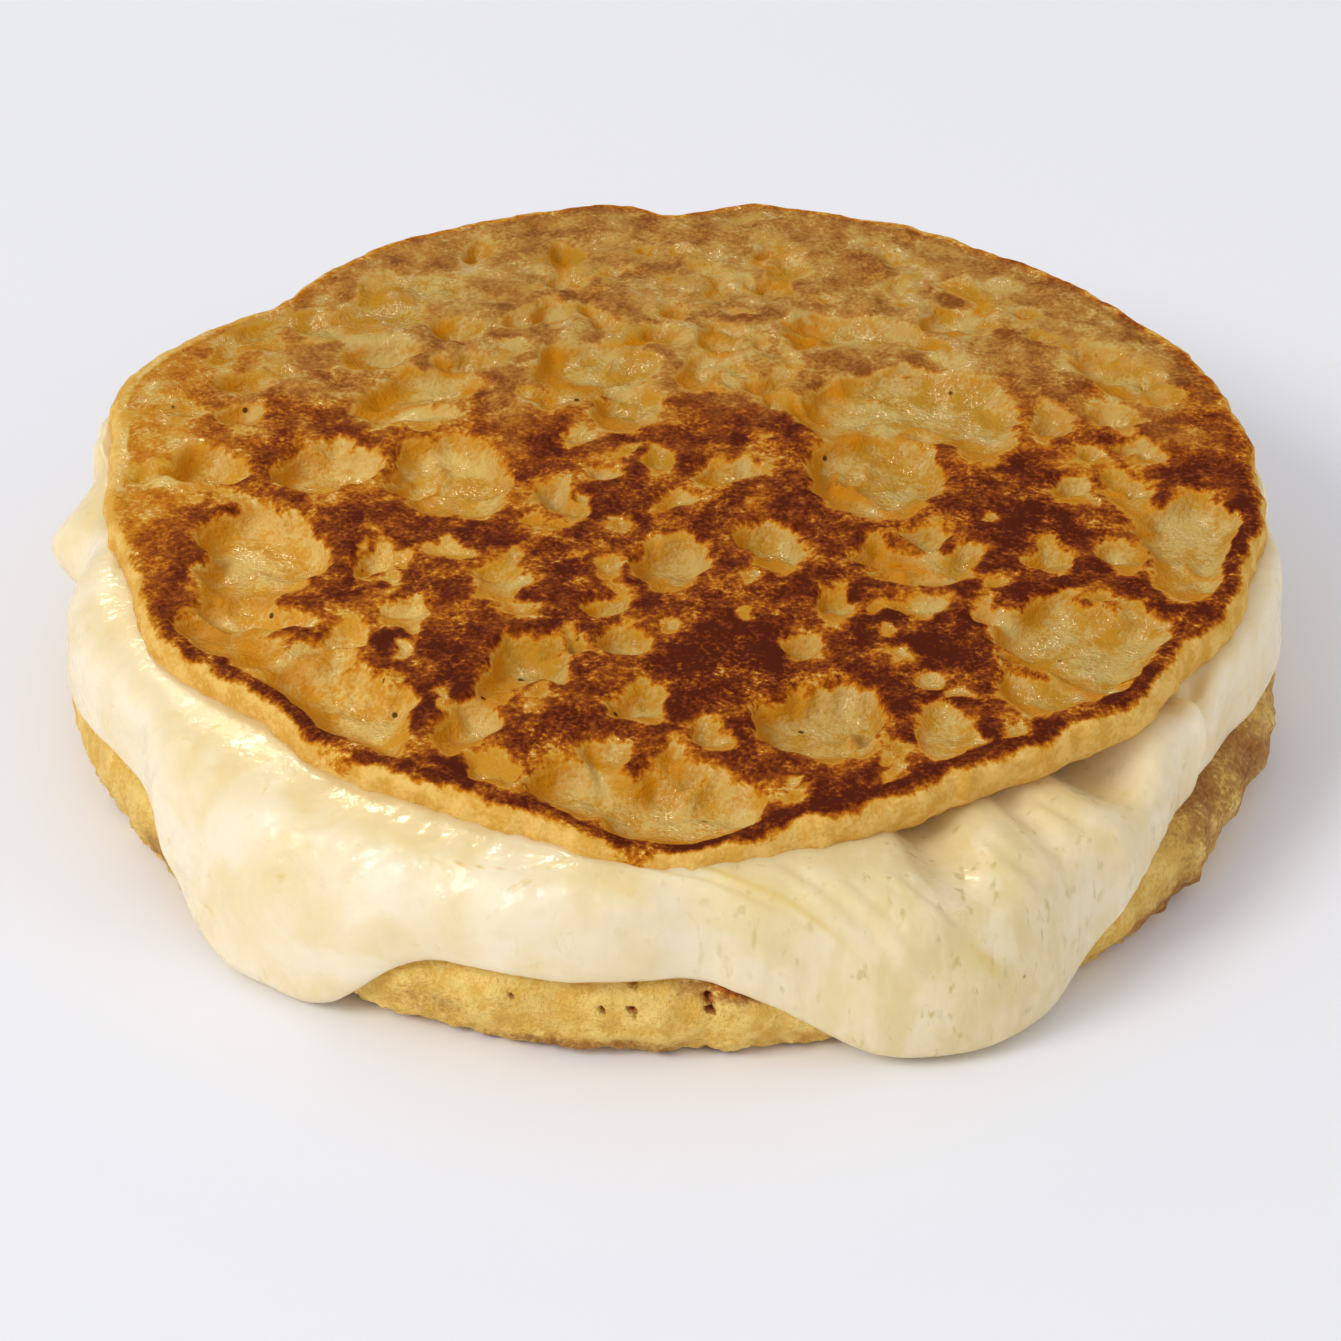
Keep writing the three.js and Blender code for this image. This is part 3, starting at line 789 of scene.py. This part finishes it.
def buildTopCake(material):
    cake = topCake
    share, angle, gridFaces, edge = discGrid(cake["grid"])
    outline = outlineOf(cake, angle)
    crustEdge = outline - cake["roundOver"]
    fromEdge = (1 - share) * crustEdge
    flat = onBearing(share * crustEdge, angle, np.zeros(len(share)), cake["centre"])
    x, y = [flat[:, axis] + raggedWarp(flat, seed) for axis, seed in enumerate(cake["warpSeeds"])]
    toBack = smoothStep(*cake["toBack"], flat[:, 1])
    hotMiddle = patchField(x, y, [cake["hotMiddle"]])
    keep = smoothStep(-0.4, 0.6, fromEdge)  # relief dies out at the rim

    inside, deep, lean, front, island = crustBlisters(cake, flat, x, y, angle, fromEdge, hotMiddle)
    depth, paintedWallShade = blisterWalls(inside, deep, lean, front, cake["blisterWall"])
    depth = soften(depth, cake["grid"], 2) * keep
    contact = 1.6 + (-inside * np.where(inside > 0, 1.7, 1.0) - 1.6) * keep

    # slow rise and fall, the drooping front and fine relief
    dome = cake["crown"] * (1 - share ** 2) - noseDrop(angle) * share ** 6
    across, along = flat[:, :2].T / cake["waveLength"]
    swell = cake["wave"] * np.sin(across) * np.cos(along) * (1 - share ** 4)
    rough = changingRelief(flat, toBack, cake["rough"])
    lumps = sum(reliefAt(flat, row) for row in cake["lumps"]) * smoothStep(0.3, 1.4, inside)
    crust = flat.copy()
    crust[:, 2] = cake["top"] + dome + swell - cake["deeper"] * depth + (rough + lumps) * keep

    # marks that the material reads
    heat = crustHeat(cake, flat, x, y, angle, fromEdge, toBack, hotMiddle)
    lip = smoothStep(-0.2, 0.3, inside) * (1 - smoothStep(0.3, 1.3, inside)) * np.clip(deep, 0, 1)
    paintedWallShade = paintedWallShade * smoothStep(0.2, 1.6, -island)
    # amber: the batter's own just inside the edges, painted shade on walls away from the light, in deep
    # places and between lumps
    amberAndShade = np.minimum(1.1 * paintedWallShade + 0.3 * lip + 0.06 * depth - 0.7 * lumps, 0.9) * keep
    mild = toBack * (1 - bell(angle, *cake["goldEdge"]) * (1 - smoothStep(4, 14, fromEdge)))
    # painted shade: duller, darker crumb towards the back and the right, away from the light
    rightward = smoothStep(*cake["farShadeFrom"], x + reliefAt(flat, cake["farShadeNoise"]))
    rightward = rightward * (0.5 + 0.5 * smoothStep(*cake["farShadeFront"], y))
    farShade = np.maximum(toBack, 0.9 * rightward)
    marks = np.stack([contact, heat, np.zeros(len(crust)), amberAndShade, mild, farShade], axis=1)

    sides = topSide(cake, angle[edge], outline[edge])
    innerEdge = outline[edge] - cake["roundUnder"]
    points, tube, fan, marks = closeCake(
        cake, (crust, marks), sides, edge, angle[edge], innerEdge, cake["underside"])
    faceSets = (gridFaces, tube, fan)
    return makePiece("topCake", points, faceSets, marks, "top_cake", material)


# lower cake

bottomCake = {
    "centre": (0.0, 0.0),
    "radius": 64.8,
    "middle": 6.4,
    "top": 11.0,
    "roundUnder": 4.3,
    "roundOver": 6.3,
    "square": 0.9,
    "sideSteps": 34,
    "wander": (0.6, 0.7),
    "bulges": [(-152, 22, -1.4), (-105, 14, -0.9), (-45, 16, 1.1)],
    "ragged": 0.5,
    "raggedLength": 7.0,
    "seed": 13,
    "grid": 224,
    "warpSeeds": (61, 67),
    "blisterWall": 1.4,
    "clearRim": 8.0,
    "blisters": (90, (1.0, 8.0), 71, (0.5, 0.18)),  # on the underside: tried, half lengths, seed, depth
    "heat": 0.62,
    # noise: size in mm, seed, layers, height
    "heatNoise": (10, 73, 2, 0.3),
    "bumps": (6, 81, 4, 0.45),
    "rightBumps": (5, 85, 2, 0.9),
    "rightSide": (-26, 24),  # bearing, half width
    "footNoise": (2.5, 89, 2, 0.1),
    "crumbs": [(1.6, 87, 2, 0.18, 0.7)],  # the same, and added at the foot
    "holeDepth": 0.9,
    "stainsAndShade": [  # bearing, height, half width, half height in mm, how brown
        # those from -38 to -12 darken the right side under the cheese: partly stains, partly painted shade
        (-83.5, 9.3, 4.6, 1.2, 0.8), (-30, 9.5, 9, 4, 0.28), (-22, 7, 6, 4, 0.36), (-38, 2.6, 8, 1.8, 0.36),
        (-12, 5, 8, 5, 0.28), (-32, 5, 12, 4, 0.16), (-148, 4, 5, 2, 0.16), (-112, 4.5, 5, 1.6, 0.16),
        (-98, 1.6, 12, 1.2, 0.2), (60, 6, 12, 3, 0.2), (105, 9, 9, 2, 0.3), (140, 5, 10, 3, 0.22),
        (25, 4, 9, 2, 0.25),
    ],
    "holes": [  # bearing, height, half width in mm
        (-93.3, 9.4, 0.42), (-93.3, 6.8, 0.4), (-86.7, 8.1, 0.5), (-86.5, 7.0, 0.42), (-96.0, 7.0, 0.3),
        (-104, 7.2, 0.22), (40, 6, 0.6), (77, 8, 0.5), (118, 5, 0.6), (150, 8, 0.5),
    ],
    "look": {
        "pale": "#e2b564", "honey": "#cf9a42", "amber": "#c8922c",
        "farShadePale": "#e2b564", "farShadeHoney": "#cf9a42", "skinLight": "#f7d376", "skinDark": "#e6b550",
        "raggedness": 1.0, "dryRough": 0.6, "wetRough": 0.2, "oil": 0.1, "shine": 0.2, "grain": 0.34,
    },
}


# browned stains set out on the side, on the right partly painted shade, and small holes whose dark inside is
# painted shade
def sideSpots(cake, bearing, height):
    stain, pit = np.zeros((2, len(bearing)))
    for at, up, wide, tall, brown in cake["stainsAndShade"]:
        across = np.radians(wrapDegrees(bearing - at)) * cake["radius"] / wide
        stain = np.maximum(stain, brown * np.exp(-across ** 2 - ((height - up) / tall) ** 2))
    for at, up, wide in cake["holes"]:
        across = np.radians(wrapDegrees(bearing - at)) * cake["radius"]
        pit = np.maximum(pit, 1 - smoothStep(0.5 * wide, 1.4 * wide, np.hypot(across, height - up)))
    return stain, pit


# rings from the foot up the crumbly side and over, each with its marks
def bottomSide(cake, angle, outline):
    full = np.ones(len(angle))
    sides = []
    for i in range(1, cake["sideSteps"] + 1):
        above = i / cake["sideSteps"]
        turn = math.pi * above
        lower = turn <= math.pi / 2
        width = cake["roundUnder"] if lower else cake["roundOver"]
        tall = cake["middle"] if lower else cake["top"] - cake["middle"]
        outward, downward = roundedSide(turn, width, tall, cake["square"])
        up = cake["middle"] - downward
        ring = onBearing(outline + outward, angle, up * full)
        bumps = reliefAt(ring, cake["bumps"])
        bumps = bumps + reliefAt(ring, cake["rightBumps"]) * bell(angle, *cake["rightSide"])
        crumbs = changingRelief(ring, 1 - float(smoothStep(0.6, 4.0, up)), cake["crumbs"])
        stain, pit = sideSpots(cake, angle, up)
        push = (bumps + crumbs) * math.sin(turn) ** 0.5 - cake["holeDepth"] * pit
        ring = ring + onBearing(push, angle, 0 * full)
        foot = 1 - smoothStep(0.04, 0.16, above + reliefAt(ring, cake["footNoise"]))
        # darker at the foot and the stains; in the holes the dark is painted shade
        darkening = np.maximum.reduce([0.5 * foot, stain, pit])
        # painted shade: amber in the low places between the bumps and crumbs
        shade = np.clip(0.05 - 0.6 * (bumps + crumbs), 0, 0.5)
        sides.append((ring, np.stack([1.2 * full, darkening, full, shade, full, 0 * full], axis=1)))
    return sides


def buildBottomCake(material):
    cake = bottomCake
    share, angle, gridFaces, edge = discGrid(cake["grid"])
    outline = outlineOf(cake, angle)
    footEdge = outline - cake["roundUnder"]
    flat = onBearing(share * footEdge, angle, np.zeros(len(share)))
    x, y = [flat[:, axis] + raggedWarp(flat, seed) for axis, seed in enumerate(cake["warpSeeds"])]
    blisters = scatterBlisters(cake["radius"] - cake["clearRim"], [], *cake["blisters"])
    inside, deep, lean, front = blisterField(x, y, blisters)
    depth, paintedWallShade = blisterWalls(inside, deep, lean, front, cake["blisterWall"])
    base = flat.copy()
    base[:, 2] = depth * smoothStep(0.5, 3.0, (1 - share) * footEdge)
    heat = cake["heat"] + reliefAt(flat, cake["heatNoise"])
    plain = np.zeros(len(flat))
    # on the underside, painted shade on the blister walls
    marks = np.stack([-inside, heat, plain, 0.6 * paintedWallShade + 0.1 * depth, plain, plain], axis=1)

    sides = bottomSide(cake, angle[edge], outline[edge])
    innerEdge = outline[edge] - cake["roundOver"]
    points, tube, fan, marks = closeCake(
        cake, (base, marks), sides, edge, angle[edge], innerEdge, cake["top"])
    faceSets = (gridFaces[:, ::-1], tube[:, ::-1], fan[:, ::-1])
    return makePiece("bottomCake", points, faceSets, marks, "bottom_cake", material)


# melted cheese

cheese = {
    "reach": 61.6,
    "drape": 2.4,
    "tuck": 0.6,
    "rise": 3.6,
    "lip": 1.6,
    "bellyRise": 0.3,
    "fullness": 0.84,
    "slack": [(175, 7, 0.6), (-118, 22, 0.22)],  # bearing, half width, how much less full it hangs
    "footShare": 0.85,
    "easing": 2.2,  # how softly a tongue slows where it meets the floor
    "seatDip": 0.25,  # how far it sinks into the lower cake's side
    "overlap": 0.2,  # how far its flat faces sink into the cakes
    "offFloor": 0.02,
    "seatStart": 30.0,  # radius of the first ring on its lower face
    "tongueBlend": 4,  # higher keeps neighbouring tongues, and bellies, more apart
    "bellyBlend": 2.5,
    "tongues": [  # bearing, clockwise and anticlockwise half width, how far it hangs
        (-64, 16, 15.5, 16.5), (-98, 18, 13, 1.8), (-128, 14.5, 11.5, 17), (-168, 6, 14, 2.6),
        (-8, 12, 14, 1.5), (24, 8, 9, 2.0), (62, 12, 12, 3.6), (112, 13, 14, 3.0), (146, 8, 8, 2.6),
    ],
    "bellies": [  # bearing, clockwise and anticlockwise half width, how far it stands out
        (-64, 17, 16, 9.6), (-100, 24, 14, 4.2), (-129, 15, 20, 6.0), (-167, 8, 16, 3.4),
        (175, 5, 4, 5.6), (-8, 12, 14, 3.6), (24, 9, 9, 1.8), (62, 13, 13, 3.2), (112, 13, 15, 2.8),
        (146, 9, 9, 2.2),
    ],
    "flap": (175, 7, 2.6),  # bearing, half width, how far it stands off the lower cake
    "undercut": (-48, 24, 2.2, 2.6),  # bearing, half width, how much lower and further in it meets the rim
    "pockets": [  # bearing, half width, how low
        (-64, 3, 1.7), (-43, 4, 2.0), (-54, 1.6, 0.8), (-28, 5, 1.2),
    ],
    "pocketIn": 0.8,  # how far in a pocket goes for its depth
    "dent": 0.8,  # how deep the pockets show outside the rim
    "folds": [  # bearing at the rim and lower down, share of the height at both, half width in mm, how deep
        (-92, -76, 0.98, 0.38, 1.5, 0.5), (-79, -71, 0.85, 0.35, 1.0, 0.3), (-74, -68, 0.75, 0.3, 0.8, 0.22),
        (-70, -65, 0.8, 0.5, 0.8, 0.2), (-112, -121, 0.8, 0.45, 1.3, 0.16), (-60, -57, 0.85, 0.5, 0.8, 0.22),
        (-52, -50, 0.9, 0.6, 0.8, 0.3), (-134, -139, 0.7, 0.45, 1.2, 0.14), (20, 24, 0.9, 0.4, 1.6, 0.4),
        (-26, -31, 1.0, 0.0, 1.5, 1.6), (84, 80, 0.9, 0.4, 1.6, 0.4), (140, 146, 0.9, 0.4, 1.6, 0.4),
    ],
    "oilLines": [  # bearing at both ends, share of the height at both, half width in mm
        (-90, -74, 1.02, 0.36, 0.8), (-66, -62, 0.5, 0.28, 0.9), (-105, -112, 0.72, 0.66, 0.5),
    ],
    "lobe": (-58, 26),  # places by bearing and half width: the stringy lobe at the front right
    "curd": (-66, 22),
    "ridge": (-116, 26),  # left of the nose: a ridge under the rim, puckers below it, a wet belly
    "puckerTop": (-106, 24),
    "puckerBelly": (-115, 22),
    "wetBelly": (-115, 19),
    # noise: size in mm, seed, layers, height
    "lumps": [(11, 101, 2, 0.45), (3.2, 107, 2, 0.06)],
    "puckers": (1.7, 119, 2, 0.14),
    "streaks": (4.0, 109, 2, 0.3),
    "rimNoise": (7, 113, 2, 0.3),
    "wetNoise": (2.4, 121, 2, 1.0),
    "dimples": (0.9, 103),  # size, seed
    "ridgeGaps": (4, 117),
    "dimpleDepth": 0.13,
    "flowRadius": 64.0,  # streaks and dimples are laid out round a drum, drawn out downwards
    "flowStretch": 0.6,
    "bearings": 1080,
    "seatSteps": 14,
    "lipSteps": 14,
    "freeSteps": 46,
    "look": {
        "cream": "#f7e8c6", "warmShadedCream": "#ecd293", "oil": "#e2bd58",
        "fleck": "#8a7432", "olive": "#e2cb8c", "spot": "#b39a3c",
        "flecks": (6, 0.02, 0.05, 0.75, 0.6),  # spacing, core, edge, share of cells left empty, strength
        "rough": 0.45, "wet": 0.65, "wetRough": 0.16, "wetIor": 1.4, "ripple": 0.03, "wetRipple": 0.1,
        "glow": 0.5, "glowDepth": 3.5, "glowColor": (1.0, 0.75, 0.4),
    },
}


# largest of a few lengths, with the change from one to the next rounded off
def softMax(values, soft=0.5):
    return soft * math.log(sum(math.exp((v - max(values)) / soft) for v in values)) + max(values)


def tongueAt(angle, tongues, blend):
    total = 0
    for at, before, after, size in tongues:
        off = wrapDegrees(angle - at)
        total = total + (size * np.exp(-(off / np.where(off < 0, before, after)) ** 2)) ** blend
    return total ** (1 / blend)


def curvePoints(corners, steps):
    t = np.linspace(0, 1, steps + 1)[:, None]
    order = len(corners) - 1
    weights = [math.comb(order, i) * (1 - t) ** (order - i) * t ** i for i in range(order + 1)]
    return sum(weight * np.array(corner) for weight, corner in zip(weights, corners))


# the stretch that lies on the lower cake, as far down its side as the cheese hangs
def seatPath(bottomOut, hang):
    cake = bottomCake
    turn = np.linspace(0, math.pi, 41)
    upper = turn <= math.pi / 2
    width = np.where(upper, cake["roundOver"], cake["roundUnder"])
    tall = np.where(upper, cake["top"] - cake["middle"], cake["middle"])
    outward, upward = roundedSide(turn, width, tall, cake["square"])
    out = bottomOut - cheese["seatDip"] + outward
    up = np.maximum(cake["middle"] + upward, cheese["offFloor"])
    run = np.concatenate([[0], np.cumsum(np.hypot(np.diff(out), np.diff(up)))])
    length = -softMax((-hang, -run[-1]), cheese["easing"])
    along = np.linspace(0, length, cheese["seatSteps"] + 1)
    return np.stack([np.interp(along, run, out), np.interp(along, run, up)], axis=1)


# where the cheese meets the upper cake's rim: how far out and how high
def rimPoint(angle, topOut):
    at, spread, lower, further = cheese["undercut"]
    under = bell(angle, at, spread)
    pocket = bellSum(angle, cheese["pockets"])
    turn = math.radians(angle)
    offCentre = topCake["centre"][0] * math.cos(turn) + topCake["centre"][1] * math.sin(turn)
    out = topOut + offCentre - cheese["tuck"] - further * under - cheese["pocketIn"] * pocket
    return out, topCake["underside"] + cheese["rise"] - lower * under - pocket


# one cross section, from the lower face, down the lower cake, round the lip and up to the upper cake
def cheeseSection(angle, bottomOut, topOut, hang, stand):
    lying = seatPath(bottomOut, hang)
    rimOut, roof = rimPoint(angle, topOut)
    edgeOut, edgeUp = lying[-1]
    low = edgeUp + bellSum(angle, [cheese["flap"]])
    covered = bottomOut - cheese["seatDip"] if edgeUp < bottomCake["middle"] else edgeOut
    reach = softMax((cheese["reach"] + stand, covered + cheese["lip"], rimOut + cheese["lip"]))
    belly = low + (roof - low) * cheese["bellyRise"]
    foot = edgeOut + (reach - edgeOut) * cheese["footShare"]
    lip = curvePoints([lying[-1], (foot, low), (reach, low), (reach, belly)], cheese["lipSteps"])
    full = cheese["fullness"] - bellSum(angle, cheese["slack"])
    shoulder = (reach, belly + (roof - belly) * full)
    brow = (rimOut + (reach - rimOut) * full, roof)
    free = curvePoints([(reach, belly), shoulder, brow, (rimOut, roof)], cheese["freeSteps"])
    floor = bottomCake["top"] - cheese["overlap"]
    ceiling = topCake["underside"] + cheese["overlap"]
    inner = [(rimOut - 3, roof - 0.6), (rimOut - 7, ceiling), (rimOut * 0.5, ceiling)]
    return np.concatenate([[(cheese["seatStart"], floor)], lying, lip[1:], free[1:], inner])


# creases that run down the cheese, each with a raised edge beside it
def foldField(bearing, freeShare, folds):
    push, crease = np.zeros((2, len(bearing)))
    for fromBearing, toBearing, high, low, wide, deep in folds:
        along = (high - freeShare) / (high - low)
        at = fromBearing + (toBearing - fromBearing) * np.clip(along, 0, 1)
        off = np.radians(wrapDegrees(bearing - at)) * cheese["reach"] / wide
        held = smoothStep(-0.15, 0.15, along) * (1 - smoothStep(0.6, 1.1, along))
        push += deep * held * (0.7 * np.exp(-(off + 1.7) ** 2) - np.exp(-off ** 2))
        crease = np.maximum(crease, held * np.exp(-off ** 2))
    return push, crease


# outward directions on a grid of points, bearings by steps
def gridNormals(grid):
    acrossDir = np.roll(grid, -1, axis=0) - np.roll(grid, 1, axis=0)
    alongDir = np.gradient(grid, axis=1)
    normal = np.cross(acrossDir, alongDir).reshape(-1, 3)
    return normal / np.maximum(np.linalg.norm(normal, axis=1), 1e-9)[:, None]


def buildCheese(material):
    angles = np.arange(cheese["bearings"]) * 360 / cheese["bearings"]
    hang = cheese["drape"] + tongueAt(angles, cheese["tongues"], cheese["tongueBlend"])
    stand = tongueAt(angles, cheese["bellies"], cheese["bellyBlend"])
    outlines = (outlineOf(bottomCake, angles), outlineOf(topCake, angles))
    sections = np.stack([cheeseSection(*each) for each in zip(angles, *outlines, hang, stand)])
    around, deep = sections.shape[:2]
    bearing = np.repeat(angles, deep)
    height = sections[:, :, 1].ravel()
    points = onBearing(sections[:, :, 0].ravel(), bearing, height)
    normal = gridNormals(points.reshape(around, deep, 3))
    rings = list(np.arange(around * deep).reshape(around, deep).T)

    # how far up the free surface a point lies, and how loose it is there
    first = 1 + cheese["seatSteps"] + 1
    last = deep - 3
    freeShare = np.clip((np.tile(np.arange(deep), around) - first) / (last - first), 0, 1)
    loose = np.sin(np.pi * freeShare) ** 0.5

    # folds, dimples, lumps and puckers, pockets beside the rim
    drum = np.full(len(points), cheese["flowRadius"])
    flow = onBearing(drum, bearing, height * cheese["flowStretch"])
    lobe = bell(bearing, *cheese["lobe"])
    folds = foldField(bearing, freeShare, cheese["folds"])[0]
    oiled = foldField(bearing, freeShare, [(*line, 0.0) for line in cheese["oilLines"]])[1]
    dimples = smoothStep(0.4, 0.6, noiseAt(flow, *cheese["dimples"])) * (0.04 + 0.5 * lobe)
    ridge = np.exp(-((freeShare - 0.93) / 0.03) ** 2) * bell(bearing, *cheese["ridge"]) * 0.5
    ridge = ridge * smoothStep(-0.2, 0.3, noiseAt(flow, *cheese["ridgeGaps"]))
    puckered = smoothStep(0.66, 0.85, freeShare) * bell(bearing, *cheese["puckerTop"])
    puckers = np.maximum(puckered, 0.6 * bell(bearing, *cheese["puckerBelly"]))
    push = sum(reliefAt(points, row) for row in cheese["lumps"]) + ridge + folds
    push = push + reliefAt(points, cheese["puckers"]) * puckers - cheese["dimpleDepth"] * dimples
    push = push + reliefAt(flow, cheese["streaks"]) * lobe * freeShare
    dents = bellSum(bearing, cheese["pockets"]) * smoothStep(0.62, 0.9, freeShare)
    points = points + normal * (push * loose - cheese["dent"] * dents)[:, None]
    points[:, 2] = np.maximum(points[:, 2], cheese["offFloor"])

    # marks that the material reads
    # warmer and darker near the rim: partly a yellower tone, partly painted shade under the rim
    nearRim = smoothStep(0.45, 0.9, freeShare + reliefAt(flow, cheese["rimNoise"]))
    belly = bell(bearing, *cheese["wetBelly"]) * np.exp(-((freeShare - 0.56) / 0.15) ** 2)
    belly = belly * smoothStep(-0.15, 0.25, reliefAt(flow, cheese["wetNoise"]))
    marks = {
        "foot": 1 - smoothStep(0.3, 2.2, points[:, 2]),
        "stain": np.clip(0.4 * dimples * loose + oiled, 0, 1),
        "rimWarmShade": nearRim * (1 - 0.6 * lobe),
        "curd": bell(bearing, *cheese["curd"]),
        "wet": np.maximum(0.7 * puckered, belly),
    }
    marks = {mark: np.concatenate([values, [0, 0]]) for mark, values in marks.items()}

    floor = bottomCake["top"] - cheese["overlap"]
    ceiling = topCake["underside"] + cheese["overlap"]
    points = np.concatenate([points, [[0, 0, floor], [0, 0, ceiling]]])
    tube, topFan = ringFaces(rings, len(points) - 1)
    lowFan = np.stack([rings[0], np.roll(rings[0], -1), np.full(around, len(points) - 2)], axis=1)
    faceSets = (tube[:, ::-1], topFan[:, ::-1], lowFan[:, ::-1])
    return makePiece("meltedCheese", points, faceSets, marks, "cheese", material)


def buildCheeseMaterial(look):
    material, tree, shader = newMaterial("meltedCheese")
    place = addPlace(tree)
    hung = addNode(tree, "ShaderNodeMapping", {}, {"Vector": place, "Scale": (1.0, 1.0, 0.4)}).outputs[0]
    curd = addMark(tree, "curd")

    # cream, warmer and darker near the rim, partly a yellower tone and partly painted shade under the rim,
    # with oil in the folds and at the foot
    warmAndShade = addRange(tree, addNoise(tree, place, 9, 4.0, 0.55, 0.5), 0.38, 0.7)
    warmAndShade = addSum(tree, (warmAndShade, addMark(tree, "rimWarmShade")), (0.7, 0.6))
    color = addMix(tree, warmAndShade, hexColor(look["cream"]), hexColor(look["warmShadedCream"]))
    oily = addRange(tree, addNoise(tree, place, 4.0, 4.0, 0.6, 0.8), 0.6, 0.74, 0.0, 0.55)
    oily = addMath(tree, "MAXIMUM", oily, addMath(tree, "MULTIPLY", addMark(tree, "stain"), 0.95))
    oily = addMath(tree, "MAXIMUM", oily, addMath(tree, "MULTIPLY", addMark(tree, "foot"), 0.35))
    color = addMix(tree, oily, color, hexColor(look["oil"]))

    # curdled streaks and smudges that hang down, a few flecks
    milk = addRange(tree, addNoise(tree, hung, 3.0, 3.0, 0.55, 0.3), 0.35, 0.65)
    milk = addMath(tree, "MULTIPLY", addMath(tree, "MULTIPLY_ADD", milk, 0.55, 0.35), curd)
    color = addMix(tree, milk, color, hexColor(look["olive"]))
    smudge = addRange(tree, addNoise(tree, hung, 1.3, 2.0, 0.5, 0.2), 0.6, 0.74)
    smudge = addMath(tree, "MULTIPLY", smudge, addMath(tree, "MULTIPLY_ADD", curd, 0.45, 0.05))
    color = addMix(tree, smudge, color, hexColor(look["spot"]))
    color = addMix(tree, addSpecks(tree, place, *look["flecks"]), color, hexColor(look["fleck"]))
    tree.links.new(color, shader.inputs["Base Color"])

    # wet in places, with small ripples
    wet = addRange(tree, addNoise(tree, place, 3.5, 3.0, 0.6), 0.42, 0.66)
    wet = addMath(tree, "MAXIMUM", addMath(tree, "MULTIPLY", wet, look["wet"]), addMark(tree, "wet"))
    tree.links.new(wet, shader.inputs["Coat Weight"])
    ripples = addNoise(tree, place, 0.8, 1.0, 0.5)
    tree.links.new(addBump(tree, ripples, look["ripple"]), shader.inputs["Normal"])
    tree.links.new(addBump(tree, ripples, look["wetRipple"]), shader.inputs["Coat Normal"])
    setSockets(shader, {
        "Roughness": look["rough"],
        "Coat Roughness": look["wetRough"],
        "Coat IOR": look["wetIor"],
        "Subsurface Weight": look["glow"],
        "Subsurface Radius": look["glowColor"],
        "Subsurface Scale": look["glowDepth"] * mm,
    })
    shader.subsurface_method = "BURLEY"
    return material


# studio

studio = {
    "elevation": 34.5,  # degrees above the floor
    "distance": 550.0,
    "aimHeight": 3.2,
    "focal": 5070.0,  # in pixels of a picture with this side
    "imageSide": 1341,
    "sensor": 36.0,
    "lampDistance": 2.4,  # metres
    "lamps": {  # bearing and height in degrees, size in metres, power in watts
        "key": {"bearing": -146.0, "height": 40.0, "size": 1.0, "power": 25.0, "color": "#ffffff"},
        "fill": {"bearing": -25.0, "height": 32.0, "size": 1.2, "power": 3.0, "color": "#ffffff"},
        "sheen": {"bearing": 112.0, "height": 46.0, "size": 0.5, "power": 28.0, "color": "#fff1d0"},
    },
    "glossOnly": ("sheen",),  # from behind, for the wet sparkle on the crust
    "sky": 0.65,
    "skyColor": "#f8f9ff",
    "floorColor": "#f6f6f8",
    "floorRough": 0.75,
    "floorSize": 8.0,
}


def buildCamera():
    tilt = math.radians(studio["elevation"])
    camera = bpy.data.cameras.new("camera")
    camera.sensor_width = studio["sensor"]
    camera.lens = studio["focal"] / studio["imageSide"] * studio["sensor"]
    camera.clip_start = 0.01
    cameraObject = addToScene("camera", camera)
    aim = np.array([stackShift[0], stackShift[1], studio["aimHeight"]])
    back = np.array([0, -math.cos(tilt), math.sin(tilt)])
    cameraObject.location = (aim + back * studio["distance"]) * mm
    cameraObject.rotation_euler = (math.pi / 2 - tilt, 0, 0)
    bpy.context.scene.camera = cameraObject


def buildLamp(name, given):
    turn = math.radians(given["bearing"])
    rise = math.radians(given["height"])
    lamp = bpy.data.lights.new(name + "Light", "AREA")
    lamp.shape = "DISK"
    lamp.size = given["size"]
    lamp.energy = given["power"]
    lamp.color = hexColor(given["color"])[:3]
    lampObject = addToScene(name + "Light", lamp)
    toLamp = np.array([math.cos(turn) * math.cos(rise), math.sin(turn) * math.cos(rise), math.sin(rise)])
    lampObject.location = toLamp * studio["lampDistance"]
    lampObject.rotation_euler = (math.pi / 2 - rise, 0, turn + math.pi / 2)
    lampObject.visible_diffuse = name not in studio["glossOnly"]


def buildFloor():
    half = studio["floorSize"] / 2
    mesh = bpy.data.meshes.new("floor")
    corners = [(-half, -half, 0), (half, -half, 0), (half, half, 0), (-half, half, 0)]
    mesh.from_pydata(corners, [], [(0, 1, 2, 3)])
    material, _, shader = newMaterial("paleFloor")
    setSockets(shader, {
        "Base Color": hexColor(studio["floorColor"]),
        "Roughness": studio["floorRough"],
        "Specular IOR Level": 0.0,
    })
    mesh.materials.append(material)
    floor = addToScene("floor", mesh)


def buildStudio():
    buildCamera()
    for name, lamp in studio["lamps"].items():
        buildLamp(name, lamp)
    world = bpy.data.worlds.new("studioSky")
    world.use_nodes = True
    setSockets(world.node_tree.nodes["Background"], {
        "Color": hexColor(studio["skyColor"]),
        "Strength": studio["sky"],
    })
    bpy.context.scene.world = world
    buildFloor()
    bpy.context.scene.view_settings.view_transform = "Standard"
    print("studio ready")


buildStudio()
buildBottomCake(buildCakeMaterial("cornCake", bottomCake["look"]))
buildCheese(buildCheeseMaterial(cheese["look"]))
buildTopCake(buildCakeMaterial("brownedCake", topCake["look"]))
